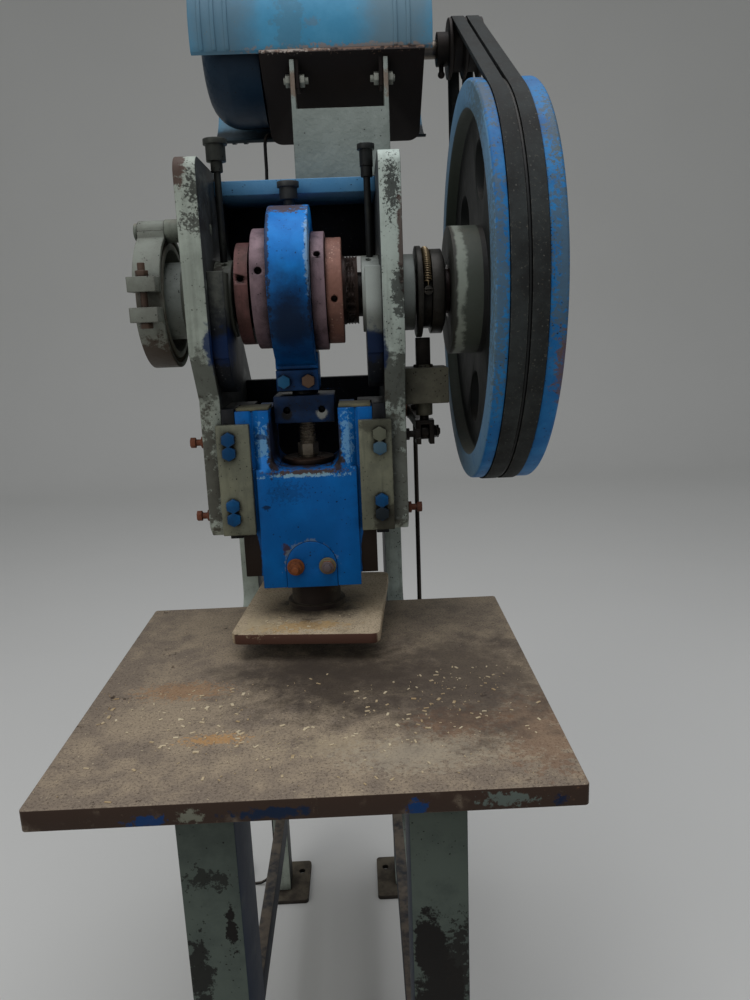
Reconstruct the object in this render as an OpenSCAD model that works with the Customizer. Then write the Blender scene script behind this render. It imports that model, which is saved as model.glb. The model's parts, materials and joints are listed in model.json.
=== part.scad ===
// Mechanical stamping press: an open C frame of two steel plates over a braced table stand.
// X runs along the crankshaft, Y to the rear, Z up. The origin is on the floor, under the
// crankshaft's axis and in the middle of the four anchor holes. Sizes are in millimetres.

/* [Frame] */
// Width over the two side plates
frame_w = 298; // [280:1:306]
// Thickness of a side plate
plate_t = 30; // [24:1:34]
// Height of the frame's top
head_top = 1485; // [1470:1:1510]
// Reach of the head in front of the crankshaft's axis
head_front = 112; // [106:1:120]
// Reach of the head behind the crankshaft's axis
head_rear = 184; // [176:1:196]
// Underside of the nose, above the floor
nose_z = 955; // [940:1:965]
// Depth of the throat behind the crankshaft's axis
throat = 185; // [175:1:200]
// Depth of the column from front to back
column_d = 200; // [170:1:230]

/* [Table and stand] */
// Height of the table's top
table_z = 780; // [774:1:783]
// Width of the table
table_w = 600; // [520:5:680]
// Depth of the table
table_d = 580; // [560:5:620]
// Thickness of the table
table_t = 25; // [16:1:32]
// Sideways place of the table's middle
table_x = 8; // [-10:1:15]
// Place of the table's rear edge behind the axis
table_back = 105; // [90:1:125]
// Width of a front leg's flange
leg_flange = 65; // [55:1:70]
// Depth of a front leg
leg_d = 100; // [80:1:110]
// Wall of a front leg
leg_wall = 6; // [4:0.5:8]
// Distance between the webs of the front legs
leg_gap = 192; // [180:1:196]
// Sideways place of the middle between the front legs
leg_x = 21; // [10:1:24]
// Width of a stretcher rail
rail_w = 20; // [14:1:24]
// Height of a stretcher rail
rail_h = 50; // [30:1:60]
// Height of the rails' top
rail_z = 215; // [180:5:300]
// Distance between anchor holes across
anchor_x = 196; // [192:1:200]
// Distance between anchor holes front to back
anchor_y = 790; // [780:1:800]
// Radius of an anchor hole
anchor_r = 7; // [5:0.5:9]
// Thickness of a foot plate
foot_t = 10; // [6:1:14]

/* [Crankshaft] */
// Height of the crankshaft's axis
crank_z = 1303; // [1298:1:1308]
// Radius of the main journals
shaft_r = 32; // [28:1:34]
// Radius of the crank journal
journal_r = 49; // [47:1:51]
// Throw of the crank journal, which is also the throw of the eccentric bush
throw = 6; // [3:0.5:6.5]
// Outer radius of the eccentric bush
bush_r = 72; // [70:1:74]
// Outer radius of the discs on both sides of the strap
disc_r = 85; // [84:1:90]
// Outer radius of the ring nut
nut_r = 76; // [70:1:80]
// Radial running clearance of shafts and bushes
fit = 0.05; // [0.03:0.01:0.1]
// Outer radius of the main bearing housings
bearing_r = 55; // [50:1:60]
// Reach of the main bearings inside the plates
bearing_in = 26; // [20:1:28]

/* [Connecting rod] */
// Outer radius of the eccentric strap
strap_r = 116; // [108:1:120]
// Width of the eccentric strap
strap_w = 58; // [50:1:60]
// Sideways place of the strap's middle
strap_x = -8; // [-11:1:-5]
// Width of the rod below the strap
rod_w = 63; // [54:1:66]
// Depth of the rod below the strap
rod_d = 64; // [60:1:70]
// Height of the rod's lower end
rod_z = 1167; // [1163:1:1170]
// Width of the threaded foot
rod_foot_w = 90; // [84:1:92]
// Height of the threaded foot's body
rod_foot_h = 40; // [34:1:42]
// Radius of the adjusting screw
screw_r = 13; // [11:0.5:15]

/* [Ram] */
// Width of the ram's face
ram_w = 148; // [142:1:150]
// Reach of the ram's face in front of the axis
ram_front = 75; // [73:1:78]
// Depth of the ram
ram_d = 128; // [120:1:134]
// Height of the ram's underside
ram_z = 874; // [870:1:884]
// Height of the ram
ram_h = 269; // [262:1:272]
// Width over the ram's guide wings
wing_w = 200; // [196:1:202]
// Thickness of a guide wing
wing_t = 58; // [50:1:60]
// Width of the slot in the ram's top
slot_w = 100; // [96:1:104]
// Depth of the slot in the ram's top
slot_h = 88; // [80:1:92]
// Radius of the ball on the adjusting screw
ball_r = 22; // [20:0.5:23]
// Clearance between the ram's wings and the guides
guide_gap = 0.3; // [0.2:0.05:0.5]
// Thickness of a gib plate
gib_t = 14; // [10:1:16]
// Width of a gib plate
gib_w = 48; // [44:1:50]
// Height of a gib plate
gib_h = 164; // [150:1:170]

/* [Press plate] */
// Width of the press plate
pad_w = 220; // [190:1:224]
// Depth of the press plate
pad_d = 284; // [240:1:290]
// Thickness of the press plate
pad_t = 16; // [12:1:18]
// Open gap between the press plate and the table at the top of the stroke
pad_gap = 27; // [27:1:30]
// Turn of the press plate on its shank, in degrees
pad_turn = -5; // [-6:0.5:6]
// Radius of the boss on the press plate
boss_r = 39; // [32:1:42]
// Radius of the stem that the ram clamps
stem_r = 16; // [14:0.5:17]

/* [Flywheel and belts] */
// Outer radius of the flywheel
wheel_r = 280; // [270:1:284]
// Width of the flywheel's rim
wheel_w = 86; // [80:1:90]
// Place of the rim's inner face
wheel_x = 244; // [242:1:248]
// Thickness of the rim
rim_t = 42; // [36:1:48]
// Thickness of the web
web_t = 26; // [20:1:30]
// Outer radius of the hub
hub_r = 92; // [84:1:98]
// Length of the hub in front of the rim
hub_out = 24; // [20:1:28]
// Radius of a lightening hole
web_hole_r = 40; // [30:1:46]
// Number of lightening holes
web_holes = 6; // [4:1:7]
// Top width of a belt
belt_w = 21; // [17:1:22]
// Thickness of a belt
belt_t = 13; // [11:1:14]
// Distance between the two belts
belt_pitch = 25; // [24.5:0.5:28]
// Outer radius of the motor pulley
pulley_r = 46; // [42:1:52]

/* [Motor] */
// Distance of the motor's axis behind the crankshaft
motor_y = 249; // [244:1:256]
// Height of the motor's axis
motor_z = 1706; // [1700:1:1716]
// Radius of the motor's body
motor_r = 84; // [76:1:90]
// Length of the motor's body
motor_l = 220; // [219:1:224]
// Height of the motor's axis over its platform
motor_h = 100; // [96:1:106]
// Slope of the platform, in degrees
platform_tilt = 35; // [32:1:38]
// Width of the platform
platform_w = 255; // [240:1:262]
// Length of the platform
platform_l = 177; // [170:1:184]
// Thickness of the platform
platform_t = 8; // [6:1:10]
// Outer radius of the drum hood
hood_r = 133; // [131:1:134]
// Wall of the drum hood
hood_wall = 4; // [3:0.5:5]
// Length of the drum hood
hood_l = 372; // [340:1:374]
// Outer radius of the fan cowl
cowl_r = 112; // [104:1:116]
// Width of the motor bracket
bracket_w = 152; // [146:1:156]
// Sheet of the motor bracket
bracket_t = 7; // [6:1:9]

/* [Brake and clutch] */
// Radius of the brake drum
drum_r = 82; // [78:1:83]
// Width of the brake drum
drum_w = 38; // [34:1:40]
// Thickness of the brake lining
lining_t = 7; // [5:0.5:8]
// Thickness of the brake band
band_t = 7; // [5:0.5:8]
// Radius of the clutch collar
collar_r = 66; // [60:1:66]
// Travel of the clutch latch
latch_travel = 16; // [8:1:18]
// Side of the square clutch latch
latch_w = 21; // [18:1:22]

/* [Hidden] */
$fn = 72;

// Gap that two bodies keep where they run past each other
run_gap = 0.3;
// Overlap that joins two shapes of one piece
weld = 1;

plate_in = frame_w/2 - plate_t;
plate_out = frame_w/2;
bed_z = table_z - table_t;
tie_front = 24;
leg_y = table_back - table_d + 30;
column_rear = throat + column_d;
head_slope_z = crank_z - 74;
nose_top = head_slope_z - 69;

// Places along the crankshaft
brake_x0 = -plate_out - 72;
brake_x1 = brake_x0 + drum_w;
boss_left = plate_out + 16;
boss_right = plate_out + 20;
journal_x0 = strap_x - strap_w/2 - 30;
journal_x1 = strap_x + strap_w/2 + 66;
thread_x = strap_x + strap_w/2 + 47;
collar_x0 = boss_right + 3;
collar_w = 21;
spring_x = collar_x0 + 8 + (collar_w - 8)/2;
groove_r = collar_r - 13;
sleeve_x1 = collar_x0 + collar_w + 17;
hub_x0 = wheel_x - hub_out;
hub_x1 = wheel_x + wheel_w + 6;
shaft_x0 = brake_x0 - 6;
shaft_x1 = hub_x1 + 24;
end_r = shaft_r - 8;
flange_w = 25;
disc_w = 20;
nut_w = 24;
strap_bore = bush_r + fit;
ecc_z = crank_z + 2*throw;

// Ram, guides and press plate
ram_top = ram_z + ram_h;
ram_rear = ram_d - ram_front;
slot_z = ram_top - slot_h;
corner_r = 20;
ring_r = 40;
wing_front = ram_front - 6;
nose_y = wing_front + guide_gap;
gib_front = nose_y + gib_t;
gib_z0 = ram_z + 87;
gib_x = plate_in + 8 - gib_w;
guide_side = wing_w/2 + guide_gap;
pad_z0 = table_z + pad_gap;
pad_z1 = pad_z0 + pad_t;
shank_top = ram_z + 58;
ball_z = slot_z - 8;
cap_z = ram_z + 33;
cap_r = 38;
cap_bolt = stem_r + 8;

// Motor drive
wheel_groove_x = wheel_x + wheel_w/2 - 3;
belt_deep = 2;
belt_run = 0.4;
belt_base = belt_w - 2*belt_t*tan(19);
belt_wheel_r = wheel_r + belt_deep - belt_t;
belt_pulley_r = pulley_r + belt_deep - belt_t;
belt_span = norm([motor_y, motor_z - crank_z]);
belt_angle = atan2(motor_z - crank_z, motor_y);
belt_wrap = asin((belt_wheel_r - belt_pulley_r)/belt_span);
motor_x1 = 168;
motor_x0 = motor_x1 - motor_l;
platform_x = 78;
hood_x0 = -154;
ear_x = bracket_w/2 - bracket_t - 6.5;
bracket_x = 72;
bracket_y = 120;
tilt_pin_y = bracket_y + 16;
tilt_pin_z = 1634;
platform_mid_y = motor_y - motor_h*sin(platform_tilt);
platform_mid_z = motor_z - motor_h*cos(platform_tilt);

// Height that the bracket's arms reach, a little below the platform
function under_platform(y) =
    platform_mid_z - (y - platform_mid_y)*tan(platform_tilt) - (platform_t + 3)/cos(platform_tilt);

// Clutch trip
latch_x = collar_x0 + collar_w/2 - 1;
latch_top = crank_z - collar_r - 0.5;
block_z1 = latch_top - 44;
block_z0 = block_z1 - 53;
lever_z = block_z0 - 46;
lever_pivot_y = 300;
rod_y = 207;
lever_eye = 9 + 4*rod_y/lever_pivot_y;
pedal_z = 95;
pedal_pivot_y = 360;
pull_rod_r = 4;

// Power cable: its own points, chosen by hand
cable_r = 3;
cable_coil_r = 30;
cable_coil_at = [-250, 402];
cable_points = [[37.7, 326, 1631.7], [30, 326, 1631], [18, 326, 1628.6], [2, 324.1, 1619.6],
    [-14, 317.5, 1608.1], [-28, 304.8, 1598.7], [-40, 290.5, 1591.8], [-50, 275.3, 1587.4],
    [-57, 260.6, 1584], [-60, 250, 1577], [-61, 244, 1566], [-61, 242, 1550], [-61, 242.5, 1525],
    [-62, 242, 1502], [-66, 238, 1481], [-74, 231, 1462], [-86, 223, 1445], [-101, 215, 1430],
    [-118, 207, 1415], [-134, 201, 1398], [-146, 196, 1378], [-151.6, 190, 1354],
    [-152.6, 183, 1330], [-152.6, 176, 1305], [-152.6, 175, 1280], [-152.6, 181, 1255],
    [-152.6, 196, 1228], [-152.6, 218, 1200], [-152.6, 250, 1168], [-152.6, 282, 1136],
    [-152.6, 310, 1107], [-152.6, 332, 1080], [-152.6, 348, 1050], [-152.6, 357, 1015],
    [-152.6, 360, 970], [-152.6, 360, 900], [-152.6, 360, 800], [-152.6, 360, 700],
    [-152.6, 360, 600], [-152.6, 360, 450], [-152.6, 360, 300], [-152.6, 360, 200],
    [-153, 360.5, 110], [-154.5, 361.5, 72], [-159, 363, 46], [-167.5, 364.6, 27],
    [-178.5, 366, 13.5], [-190.5, 367.2, 6], [-202, 368.2, 3.6], [-211, 368.8, 3.4],
    [-229.4, 368.9, 3.4]];

// Heights and depths of the clips that hold the cable to the left plate
clip_places = [[175, 1292], [250, 1168], [360, 900], [360, 600], [360, 300]];

// A cylinder along X, Y or Z between two places
module xcyl(r, x0, x1, y = 0, z = 0)
    translate([x0, y, z]) rotate([0, 90, 0]) cylinder(r = r, h = x1 - x0);
module ycyl(r, y0, y1, x = 0, z = 0)
    translate([x, y0, z]) rotate([-90, 0, 0]) cylinder(r = r, h = y1 - y0);
module zcyl(r, z0, z1, x = 0, y = 0)
    translate([x, y, z0]) cylinder(r = r, h = z1 - z0);
// A box from one corner to the other
module block(a, b)
    translate(a) cube(b - a);
// A rectangle in the plane with round corners
module round_rect(w, d, r) {
    square([w - 2*r, d], center = true);
    square([w, d - 2*r], center = true);
    for (i = [-1, 1], j = [-1, 1])
        translate([i*(w/2 - r), j*(d/2 - r)]) circle(r = r);
}
// An outline of Y and Z drawn as a plate from x0 to x1
module side_profile(x0, x1)
    translate([x0, 0, 0]) rotate([90, 0, 90]) linear_extrude(x1 - x0) children();
// The web left in a corner by a round of radius r, towards the signs i and j
module corner_web(r, i, j)
    difference() {
        translate([i > 0 ? 0 : -r, j > 0 ? 0 : -r]) square(r);
        translate([i*r, j*r]) circle(r = r);
    }
// A hexagon head bolt along Y with its washer face at y and its head in front of it
module front_bolt(x, y, z, af, head, shank_len) {
    translate([x, y - head, z]) rotate([-90, 30, 0]) cylinder(r = af/sqrt(3), h = head, $fn = 6);
    ycyl(af/3.4, y - 0.5, y + shank_len, x, z);
}
// Both sides of the machine
module both_sides() {
    children();
    mirror([1, 0, 0]) children();
}

// Outline of a side plate: a C over a column that runs down to the floor
module plate_outline() {
    difference() {
        polygon([[-head_front, head_top], [-head_front, head_slope_z], [-nose_y, nose_top],
            [-nose_y, nose_z + 16], [-nose_y + 16, nose_z], [throat, nose_z],
            [throat, bed_z], [-head_front, bed_z], [-head_front, bed_z - 150],
            [90, 440], [throat + 115, 280], [column_rear - 52, 230], [column_rear - 52, foot_t],
            [column_rear, foot_t], [column_rear, 1066], [head_rear, 1066 + column_rear - head_rear],
            [head_rear, head_top]]);
        translate([-head_front, head_top]) corner_web(24, 1, -1);
        translate([head_rear, head_top]) corner_web(24, -1, -1);
    }
    translate([throat, nose_z]) corner_web(60, -1, -1);
    translate([throat, bed_z]) corner_web(28, -1, 1);
}
module plate_holes() {
    xcyl(bearing_r - 9, plate_in - 1, plate_out + 1, 0, crank_z);
    for (z = [gib_z0 + 24, gib_z0 + gib_h - 28])
        xcyl(5, plate_in - 1, plate_out + 1, -46, z);
}
module side_plate_left()
    color([0.53, 0.55, 0.50]) difference() {
        side_profile(-plate_out, -plate_in) plate_outline();
        mirror([1, 0, 0]) plate_holes();
        xcyl(8.05, -plate_out - 1, -plate_in + 1, -26, anchor_z);
    }
module side_plate_right()
    color([0.53, 0.55, 0.50]) difference() {
        side_profile(plate_in, plate_out) plate_outline();
        plate_holes();
        for (z = [block_z0 + 13, block_z1 - 13], y = [-20, 20])
            xcyl(5, plate_in - 1, plate_out + 1, y, z);
        xcyl(7, plate_in - 1, plate_out + 1, lever_pivot_y, lever_z);
        xcyl(7, plate_in - 1, plate_out + 1, pedal_pivot_y, pedal_z);
    }

// Cross pieces between the side plates
module tie_plate()
    color([0.23, 0.46, 0.67])
        block([-plate_in, tie_front, head_top - 34], [plate_in, head_rear - 6, head_top - 13]);
module back_plate()
    color([0.05, 0.05, 0.07])
        block([-plate_in, head_rear - 34, head_top - 115], [plate_in, head_rear - 22, head_top - 34]);
module cross_member()
    color([0.06, 0.08, 0.16])
        block([-plate_in, throat + 30, 1010], [plate_in, throat + 55, 1168]);

// Table and stand
module table_plate()
    color([0.42, 0.37, 0.33])
        translate([table_x, table_back - table_d/2, bed_z])
            linear_extrude(table_t) round_rect(table_w, table_d, 5);
module front_leg() {
    block([0, 0, foot_t], [leg_wall, leg_d, bed_z]);
    for (y = [0, leg_d - leg_wall])
        block([0, y, foot_t], [leg_flange, y + leg_wall, bed_z]);
}
module front_leg_right()
    color([0.42, 0.46, 0.43]) translate([leg_x + leg_gap/2, leg_y, 0]) front_leg();
module front_leg_left()
    color([0.42, 0.46, 0.43]) translate([leg_x - leg_gap/2, leg_y, 0]) mirror([1, 0, 0]) front_leg();
module foot_plates()
    color([0.20, 0.20, 0.19]) difference() {
        union() {
            for (i = [-1, 1]) {
                translate([leg_x + i*(leg_gap + leg_flange)/2, leg_y + leg_d/2, 0])
                    linear_extrude(foot_t) round_rect(leg_flange + 56, leg_d + 30, 8);
                translate([i*(plate_in + 4), anchor_y/2 - 30, 0])
                    linear_extrude(foot_t) round_rect(90, 130, 8);
            }
        }
        for (i = [-1, 1], j = [-1, 1])
            zcyl(anchor_r, -1, foot_t + 1, i*anchor_x/2, j*anchor_y/2);
    }
module side_rails()
    color([0.30, 0.33, 0.38]) both_sides()
        difference() {
            block([plate_in - 2, leg_y + leg_d, rail_z - rail_h],
                [plate_in - 2 + rail_w, column_rear - 52, rail_z]);
            block([plate_in + 1, leg_y + leg_d - 1, rail_z - rail_h + 3],
                [plate_in + rail_w - 5, column_rear - 51, rail_z - 3]);
        }

// Guides of the ram
module guide_blocks()
    color([0.16, 0.17, 0.17]) both_sides()
        difference() {
            union() {
                block([guide_side, -nose_y, gib_z0 - 8], [plate_in, 42, gib_z0 + gib_h + 22]);
                block([ram_w/2 + 5, -wing_front + wing_t + guide_gap, gib_z0 - 8],
                    [plate_in, 42, gib_z0 + gib_h + 22]);
            }
            for (z = [26, 46, gib_h - 40, gib_h - 20])
                ycyl(5.6, -nose_y - 1, -20, plate_in - 10, gib_z0 + z);
        }
module gib_plates()
    color([0.50, 0.50, 0.42]) both_sides()
        difference() {
            block([gib_x, -gib_front, gib_z0], [gib_x + gib_w, -gib_front + gib_t, gib_z0 + gib_h]);
            for (z = [26, 46, gib_h - 40, gib_h - 20])
                ycyl(5.8, -gib_front - 1, -gib_front + gib_t + 1, plate_in - 10, gib_z0 + z);
        }
module frame_bolts() {
    color([0.12, 0.30, 0.60]) both_sides()
        for (z = [26, 46, gib_h - 40, gib_h - 20])
            front_bolt(plate_in - 10, -gib_front, gib_z0 + z, 19, 8, 42);
    color([0.62, 0.62, 0.58]) translate([bracket_x, tilt_pin_y, tilt_pin_z]) both_sides() {
        xcyl(5, ear_x - 14, bracket_w/2 + 11);
        for (x = [bracket_w/2, ear_x - run_gap - 8])
            translate([x, 0, 0]) rotate([0, 90, 0]) cylinder(r = 10, h = 8, $fn = 6);
    }
    // Bolt that draws the two lugs of the brake band together
    color([0.40, 0.32, 0.28]) translate([(brake_x0 + brake_x1)/2, -band_r - band_t - 14, crank_z]) {
        zcyl(5, -38, 48);
        for (z = [-38, 30])
            translate([0, 0, z]) cylinder(r = 9, h = 8, $fn = 6);
    }
}
module set_screws()
    color([0.45, 0.30, 0.24]) both_sides()
        for (z = [gib_z0 + 24, gib_z0 + gib_h - 28])
            translate([0, -46, z]) {
                xcyl(4.9, plate_in, plate_out + 15);
                translate([plate_out + 14, 0, 0]) rotate([0, 90, 0]) cylinder(r = 8, h = 8, $fn = 6);
                translate([plate_out, 0, 0]) rotate([0, 90, 0]) cylinder(r = 9, h = 6, $fn = 6);
            }

// Main bearings
module bearing(outer)
    difference() {
        union() {
            xcyl(bearing_r - 9.2, plate_in - weld, plate_out + weld, 0, crank_z);
            xcyl(bearing_r, plate_in - bearing_in, plate_in, 0, crank_z);
            xcyl(bearing_r, plate_out, outer, 0, crank_z);
            side_profile(plate_in - 22, plate_in) {
                translate([-20, crank_z - 24]) square([150, 118], center = true);
                translate([-20, crank_z - 60]) intersection() {
                    circle(r = 75);
                    square([150, 150], center = true);
                }
            }
        }
        xcyl(shaft_r + 6, plate_in - bearing_in - 1, outer + 1, 0, crank_z);
        zcyl(5.1, crank_z + 44, crank_z + 90, plate_in - 13, -15);
        translate([0, 0, crank_z]) rotate([30, 0, 0])
            zcyl(4, bearing_r - 10, bearing_r + 1, plate_in - bearing_in + 11);
    }
module bearing_housings()
    color([0.45, 0.47, 0.44]) {
        bearing(boss_right);
        mirror([1, 0, 0]) bearing(boss_left);
    }
module bearing_bushes()
    color([0.60, 0.42, 0.20])
        for (i = [-1, 1])
            difference() {
                xcyl(shaft_r + 6, i > 0 ? plate_in - bearing_in : -boss_left,
                    i > 0 ? boss_right : -plate_in + bearing_in, 0, crank_z);
                xcyl(shaft_r + fit, i > 0 ? plate_in - bearing_in - 1 : -boss_left - 1,
                    i > 0 ? boss_right + 1 : -plate_in + bearing_in + 1, 0, crank_z);
            }

// Grease cups: a round cup with a screwed lid on a pipe
module grease_cup(z0, z1, r = 14) {
    zcyl(5, z0, z1 + 1);
    zcyl(8.5, z1 - 14, z1);
    zcyl(r, z1, z1 + 22);
    zcyl(r + 3, z1 + 22, z1 + 30);
}
module grease_cups()
    color([0.32, 0.34, 0.33]) {
        translate([-plate_in + 13, -15, 0]) grease_cup(crank_z + 47, head_top + 6);
        translate([plate_in - 13, -15, 0]) grease_cup(crank_z + 47, head_top - 7, 9.5);
    }

// Bracket that carries the motor: a web with two arms, on a base that is bolted to the tie plate
module motor_bracket()
    color([0.58, 0.60, 0.57]) translate([bracket_x, 0, 0]) difference() {
        union() {
            block([-bracket_w/2, bracket_y, head_top], [bracket_w/2, bracket_y + bracket_t, 1590]);
            block([-bracket_w/2, bracket_y, head_top - 13],
                [plate_in - bracket_x, bracket_y + bracket_t, head_top + 1]);
            block([-bracket_w/2, bracket_y, head_top - 13],
                [plate_in - bracket_x, head_rear - 8, head_top - 13 + bracket_t]);
            for (i = [-1, 1])
                side_profile(i > 0 ? bracket_w/2 - bracket_t : -bracket_w/2,
                    i > 0 ? bracket_w/2 : -bracket_w/2 + bracket_t)
                    polygon([[bracket_y, i > 0 ? head_top : head_top - 13],
                        [bracket_y, under_platform(bracket_y)],
                        [bracket_y + 32, under_platform(bracket_y + 32)], [bracket_y + 32, 1600],
                        [bracket_y + 56, i > 0 ? head_top : head_top - 13]]);
        }
        xcyl(5.1, -bracket_w/2 - 1, bracket_w/2 + 1, tilt_pin_y, tilt_pin_z);
    }

// Guide block of the clutch latch, on the right side plate
module clutch_bracket()
    color([0.36, 0.36, 0.29]) difference() {
        union() {
            block([plate_out, -30, block_z0], [plate_out + 68, 30, block_z1]);
            zcyl(13, block_z0 - 20, block_z0 + weld, latch_x, 0);
            zcyl(15, block_z1 - weld, block_z1 + 4, latch_x, 0);
        }
        block([latch_x - latch_w/2 - run_gap, -latch_w/2 - run_gap, block_z0 + 18],
            [latch_x + latch_w/2 + run_gap, latch_w/2 + run_gap, block_z1 + 5]);
        zcyl(7 + run_gap, block_z0 - 21, block_z0 + 20, latch_x, 0);
    }

// Band brake on the left end of the crankshaft
band_r = drum_r + run_gap + lining_t;
anchor_z = crank_z + band_r + band_t;
lug_y = -band_r - band_t;
module brake_drum()
    color([0.30, 0.27, 0.24]) difference() {
        union() {
            xcyl(drum_r, brake_x0, brake_x0 + 10, 0, crank_z);
            difference() {
                xcyl(drum_r, brake_x0, brake_x1, 0, crank_z);
                xcyl(drum_r - 9, brake_x0 + 9, brake_x1 + 1, 0, crank_z);
            }
            xcyl(shaft_r + 4, brake_x0, brake_x1 + 6, 0, crank_z);
        }
        xcyl(end_r + 0.02, brake_x0 - 1, brake_x1 + 7, 0, crank_z);
        for (a = [0:60:300])
            translate([0, 0, crank_z]) rotate([a, 0, 0]) xcyl(9, brake_x0 - 1, brake_x0 + 11, 55);
    }
module brake_lining()
    color([0.25, 0.20, 0.16]) difference() {
        xcyl(band_r, brake_x0 + 2, brake_x1 - 2, 0, crank_z);
        xcyl(drum_r + run_gap, brake_x0 + 1, brake_x1 - 1, 0, crank_z);
        block([brake_x0, lug_y - 20, crank_z - 12], [brake_x1, 0, crank_z + 12]);
    }
module brake_band()
    color([0.36, 0.28, 0.23]) difference() {
        union() {
            xcyl(band_r + band_t, brake_x0, brake_x1, 0, crank_z);
            block([brake_x0, lug_y - 26, crank_z - 30], [brake_x1, lug_y + 20, crank_z - 10]);
            block([brake_x0, lug_y - 26, crank_z + 10], [brake_x1, lug_y + 20, crank_z + 30]);
            block([brake_x0, -42, crank_z + 60], [brake_x1, -12, anchor_z]);
            xcyl(15, brake_x0, brake_x1, -26, anchor_z);
        }
        xcyl(band_r, brake_x0 - 1, brake_x1 + 1, 0, crank_z);
        block([brake_x0 - 1, lug_y - 27, crank_z - 10], [brake_x1 + 1, -20, crank_z + 10]);
        xcyl(8.05, brake_x0 - 1, brake_x1 + 1, -26, anchor_z);
        zcyl(5.2, crank_z - 40, crank_z + 40, (brake_x0 + brake_x1)/2, lug_y - 14);
    }
module brake_anchor()
    color([0.34, 0.35, 0.32]) {
        xcyl(8, brake_x0, -plate_in, -26, anchor_z);
        xcyl(16, brake_x1, -plate_out, -26, anchor_z);
        xcyl(12, brake_x0 - 6, brake_x0, -26, anchor_z);
    }
// Belts from the flywheel to the motor pulley, and the grooves that they run in
module belt_loop() {
    section = [[0, -belt_base/2], [belt_t, -belt_w/2], [belt_t, belt_w/2], [0, belt_base/2]];
    stations = concat(
        [for (k = [0:80]) [belt_angle + 90 - belt_wrap + k*(180 + 2*belt_wrap)/80,
            0, 0, belt_wheel_r]],
        [for (k = [0:24]) [belt_angle - 90 + belt_wrap + k*(180 - 2*belt_wrap)/24,
            motor_y, motor_z - crank_z, belt_pulley_r]]);
    n = len(stations);
    polyhedron(points = [for (s = stations, c = section)
            [c[1], s[1] + (s[3] + c[0])*cos(s[0]), s[2] + (s[3] + c[0])*sin(s[0])]],
        faces = [for (k = [0:n - 1], c = [0:3])
            [4*k + c, 4*k + (c + 1)%4, 4*((k + 1)%n) + (c + 1)%4, 4*((k + 1)%n) + c]]);
}
module v_belts()
    color([0.24, 0.24, 0.25])
        for (i = [-0.5, 0.5])
            translate([wheel_groove_x + i*belt_pitch, 0, crank_z]) belt_loop();
// A ring cut with two belt grooves, about the X axis of the place given
module grooved_ring(r, depth)
    for (i = [-0.5, 0.5])
        translate([wheel_groove_x + i*belt_pitch, 0, 0]) rotate([0, 90, 0]) rotate_extrude()
            polygon([[depth - belt_run, -belt_base/2 - belt_run], [r + 1, -belt_w/2 - belt_run],
                [r + 1, belt_w/2 + belt_run], [depth - belt_run, belt_base/2 + belt_run]]);

module flywheel()
    color([0.16, 0.36, 0.62]) translate([0, 0, crank_z]) difference() {
        rotate([0, 90, 0]) rotate_extrude($fn = 120)
            polygon([[shaft_r + 6, hub_x0], [hub_r, hub_x0], [hub_r, wheel_x + 24],
                [wheel_r - rim_t, wheel_x + 18], [wheel_r - rim_t + 6, wheel_x], [wheel_r - 3, wheel_x],
                [wheel_r, wheel_x + 3], [wheel_r, wheel_x + wheel_w - 3],
                [wheel_r - 3, wheel_x + wheel_w], [wheel_r - rim_t, wheel_x + wheel_w],
                [wheel_r - rim_t, wheel_x + 18 + web_t], [hub_r, wheel_x + 24 + web_t],
                [hub_r, hub_x1], [shaft_r + 6, hub_x1]]);
        grooved_ring(wheel_r, belt_wheel_r);
        for (k = [0:web_holes - 1])
            rotate([k*360/web_holes + 12, 0, 0])
                xcyl(web_hole_r, wheel_x - 1, wheel_x + wheel_w, 0, (hub_r + wheel_r - rim_t)/2);
    }
module flywheel_bush()
    color([0.60, 0.42, 0.20]) difference() {
        xcyl(shaft_r + 6, hub_x0, hub_x1, 0, crank_z);
        xcyl(shaft_r + fit, hub_x0 - 1, hub_x1 + 1, 0, crank_z);
    }

// Crankshaft: main journals, an eccentric journal with a collar, and two turned-down ends
module crankshaft()
    color([0.40, 0.30, 0.28]) {
        xcyl(end_r, shaft_x0, brake_x1 + 7, 0, crank_z);
        xcyl(shaft_r, brake_x1 + 6.5, journal_x0 + weld, 0, crank_z);
        xcyl(shaft_r, journal_x1 - weld, hub_x1 + 1, 0, crank_z);
        xcyl(end_r, hub_x1, shaft_x1, 0, crank_z);
        xcyl(journal_r, journal_x0, thread_x + 1, 0, crank_z + throw);
        translate([thread_x, 0, crank_z + throw]) rotate([0, 90, 0]) rotate_extrude()
            polygon(concat([[0, 0]], [for (k = [0:3], s = [0, 1]) [journal_r - 2*s, 4.4*k + 2.2*s]],
                [[journal_r, journal_x1 - thread_x], [0, journal_x1 - thread_x]]));
        difference() {
            xcyl(nut_r - 3, journal_x0 - disc_w + weld, journal_x0, 0, crank_z + throw);
            translate([journal_x0 - disc_w/2, 0, crank_z + throw]) rotate([75, 0, 0])
                zcyl(4.5, nut_r - 16, nut_r);
        }
    }
module lock_disc()
    color([0.32, 0.25, 0.24]) difference() {
        xcyl(disc_r, strap_x + strap_w/2 + run_gap, strap_x + strap_w/2 + disc_w, 0, crank_z + throw);
        xcyl(journal_r, strap_x + strap_w/2, strap_x + strap_w/2 + disc_w + 1, 0, crank_z + throw);
        translate([strap_x + strap_w/2 + disc_w/2, 0, crank_z + throw]) rotate([55, 0, 0])
            zcyl(4.5, disc_r - 14, disc_r + 2);
    }
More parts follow.
